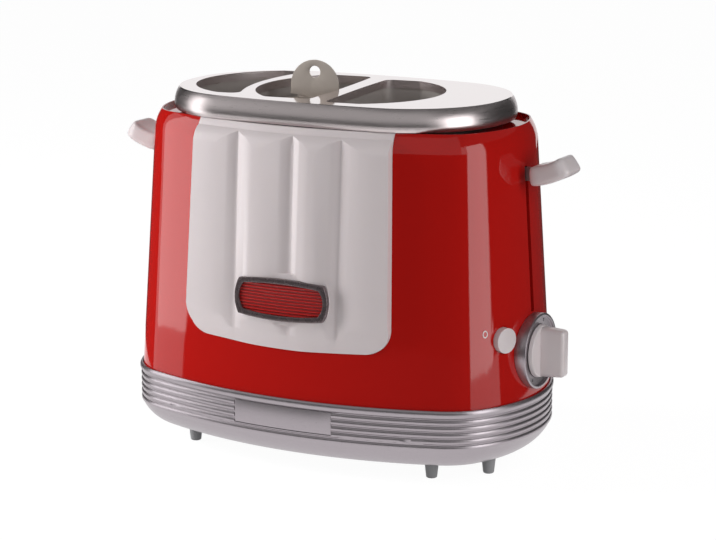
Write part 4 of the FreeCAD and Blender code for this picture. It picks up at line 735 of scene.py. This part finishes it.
class TOASTER_OT_stage(bpy.types.Operator):
    """Sets up the camera, the table, the world, the lamps and the mirrored cards"""

    bl_idname = "toaster.stage"
    bl_label = "Stage"

    def execute(self, context):
        scene = context.scene
        scene.view_settings.view_transform = "Standard"
        camera_data = bpy.data.cameras.new("camera")
        camera_data.sensor_width = FILM_WIDTH
        camera_data.lens = CAMERA_LENS
        camera_data.clip_end = 20
        camera = bpy.data.objects.new("camera", camera_data)
        scene.collection.objects.link(camera)
        camera.location = CAMERA_PLACE
        aim = CAMERA_TARGET - CAMERA_PLACE
        camera.rotation_euler = aim.to_track_quat("-Z", "Y").to_euler()
        scene.camera = camera
        self.floor(scene)
        self.world(scene)
        self.lamps(scene)
        self.studio(scene)
        return {"FINISHED"}

    def floor(self, scene):
        """White table; only its shadows show."""
        mesh = bpy.data.meshes.new("floor")
        bm = bmesh.new()
        bmesh.ops.create_grid(bm, x_segments=1, y_segments=1, size=4)
        bm.to_mesh(mesh)
        bm.free()
        floor = bpy.data.objects.new("floor", mesh)
        scene.collection.objects.link(floor)
        floor.location.z = -TABLE_DROP
        material = bpy.data.materials.new("paper_floor")
        material.use_nodes = True
        tree = material.node_tree
        tree.nodes.clear()
        white = add(tree, "ShaderNodeEmission", {"Strength": 1.1})
        paper = add(tree, "ShaderNodeBsdfDiffuse", {"Color": (0.9, 0.9, 0.9, 1)})
        share = add(
            tree, "ShaderNodeMath", {0: self.direct_rays(tree), 1: TABLE_WHITE},
            operation="MULTIPLY",
        )
        mixed = add(
            tree, "ShaderNodeMixShader",
            {0: share.outputs[0], 1: paper.outputs[0], 2: white.outputs[0]},
        )
        add(tree, "ShaderNodeOutputMaterial", {"Surface": mixed.outputs[0]})
        mesh.materials.append(material)

    def world(self, scene):
        """White to the eye and in reflections, plain light on the object."""
        world = bpy.data.worlds.new("studio")
        scene.world = world
        world.use_nodes = True
        tree = world.node_tree
        tree.nodes.clear()
        plain = add(
            tree, "ShaderNodeBackground",
            {"Color": (1, 1, 1, 1), "Strength": scene.toaster_lamps.sky},
        )
        white = add(tree, "ShaderNodeBackground", {"Color": (1, 1, 1, 1), "Strength": 1.0})
        mixed = add(
            tree, "ShaderNodeMixShader",
            {0: self.direct_rays(tree), 1: plain.outputs[0], 2: white.outputs[0]},
        )
        add(tree, "ShaderNodeOutputWorld", {"Surface": mixed.outputs[0]})

    def direct_rays(self, tree):
        """One for camera, glossy and transmission rays."""
        rays = add(tree, "ShaderNodeLightPath").outputs
        mirrored = add(
            tree, "ShaderNodeMath", {0: rays["Is Glossy Ray"], 1: rays["Is Transmission Ray"]},
            operation="MAXIMUM",
        )
        return add(
            tree, "ShaderNodeMath", {0: rays["Is Camera Ray"], 1: mirrored.outputs[0]},
            operation="MAXIMUM",
        ).outputs[0]

    def studio(self, scene):
        """Dark flats round the table with two tall softboxes, seen only in reflections."""
        for name, (first, last, low, high, radius, glow) in CARDS.items():
            bm = bmesh.new()
            start = Matrix.Rotation(math.radians(first - 90), 4, "Z") @ Vector((radius, 0, 0))
            foot = bm.verts.new(start + Vector((0, 0, low)))
            head = bm.verts.new(start + Vector((0, 0, high)))
            edge = bm.edges.new((foot, head))
            bmesh.ops.spin(
                bm, geom=[edge, foot, head], cent=(0, 0, 0), axis=(0, 0, 1),
                angle=math.radians(last - first), steps=24,
            )
            self.card(scene, name, bm, scene.toaster_lamps.strip if glow is None else glow)
        bm = bmesh.new()
        bmesh.ops.create_circle(
            bm, cap_ends=True, segments=48, radius=OVERHEAD_RADIUS,
            matrix=Matrix.Translation((0, 0, OVERHEAD_HEIGHT)),
        )
        self.card(scene, "flat_overhead", bm, OVERHEAD_GLOW)

    def card(self, scene, name, bm, glow):
        """A glowing or dark sheet that only reflections see."""
        mesh = bpy.data.meshes.new(name)
        bm.to_mesh(mesh)
        bm.free()
        card = bpy.data.objects.new(name, mesh)
        scene.collection.objects.link(card)
        material = bpy.data.materials.new(name)
        material.use_nodes = True
        material.node_tree.nodes.clear()
        light = add(material.node_tree, "ShaderNodeEmission", {"Strength": glow})
        add(material.node_tree, "ShaderNodeOutputMaterial", {"Surface": light.outputs[0]})
        mesh.materials.append(material)
        card.visible_camera = False
        card.visible_diffuse = False
        card.visible_shadow = False

    def lamps(self, scene):
        """Two tall lamps that light the object without showing in its gloss."""
        for name, (place, level) in LAMPS.items():
            data = bpy.data.lights.new(name, "AREA")
            data.shape = "RECTANGLE"
            data.size, data.size_y = LAMP_SIZE
            data.energy = getattr(scene.toaster_lamps, level)
            lamp = bpy.data.objects.new(name, data)
            scene.collection.objects.link(lamp)
            lamp.location = place
            lamp.visible_glossy = False
            aim = LAMP_TARGET - lamp.location
            lamp.rotation_euler = aim.to_track_quat("-Z", "Y").to_euler()


class TOASTER_PT_parts(bpy.types.Panel):
    """Lists the toaster's steps and their sizes"""

    bl_label = "Toaster"
    bl_idname = "TOASTER_PT_parts"
    bl_space_type = "VIEW_3D"
    bl_region_type = "UI"
    bl_category = "Toaster"

    def draw(self, context):
        for operator in OPERATORS:
            self.layout.operator(operator.bl_idname)
        for group in (getattr(context.scene, name) for name in GROUPS):
            for name in group.bl_rna.properties.keys():
                if name not in ("rna_type", "name"):
                    self.layout.prop(group, name)


OPERATORS = (TOASTER_OT_stage, TOASTER_OT_finishes, TOASTER_OT_flutes, TOASTER_OT_controls,
             TOASTER_OT_levers, TOASTER_OT_ribs, TOASTER_OT_feet)
GROUPS = {
    "toaster_colours": ToasterColours, "toaster_lamps": ToasterLamps,
    "toaster_flutes": ToasterFlutes,
    "toaster_controls": ToasterControls, "toaster_levers": ToasterLevers,
    "toaster_ribs": ToasterRibs, "toaster_feet": ToasterFeet,
}


def register():
    for cls in (*GROUPS.values(), *OPERATORS, TOASTER_PT_parts):
        bpy.utils.register_class(cls)
    for name, group in GROUPS.items():
        setattr(bpy.types.Scene, name, bpy.props.PointerProperty(type=group))


def unregister():
    for name in GROUPS:
        delattr(bpy.types.Scene, name)
    for cls in (TOASTER_PT_parts, *reversed(OPERATORS), *GROUPS.values()):
        bpy.utils.unregister_class(cls)


def main():
    register()
    bpy.ops.toaster.stage()
    bpy.ops.toaster.finishes()
    bpy.ops.toaster.flutes()
    bpy.ops.toaster.controls()
    bpy.ops.toaster.levers()
    bpy.ops.toaster.ribs()
    bpy.ops.toaster.feet()


if __name__ == "__main__":
    main()
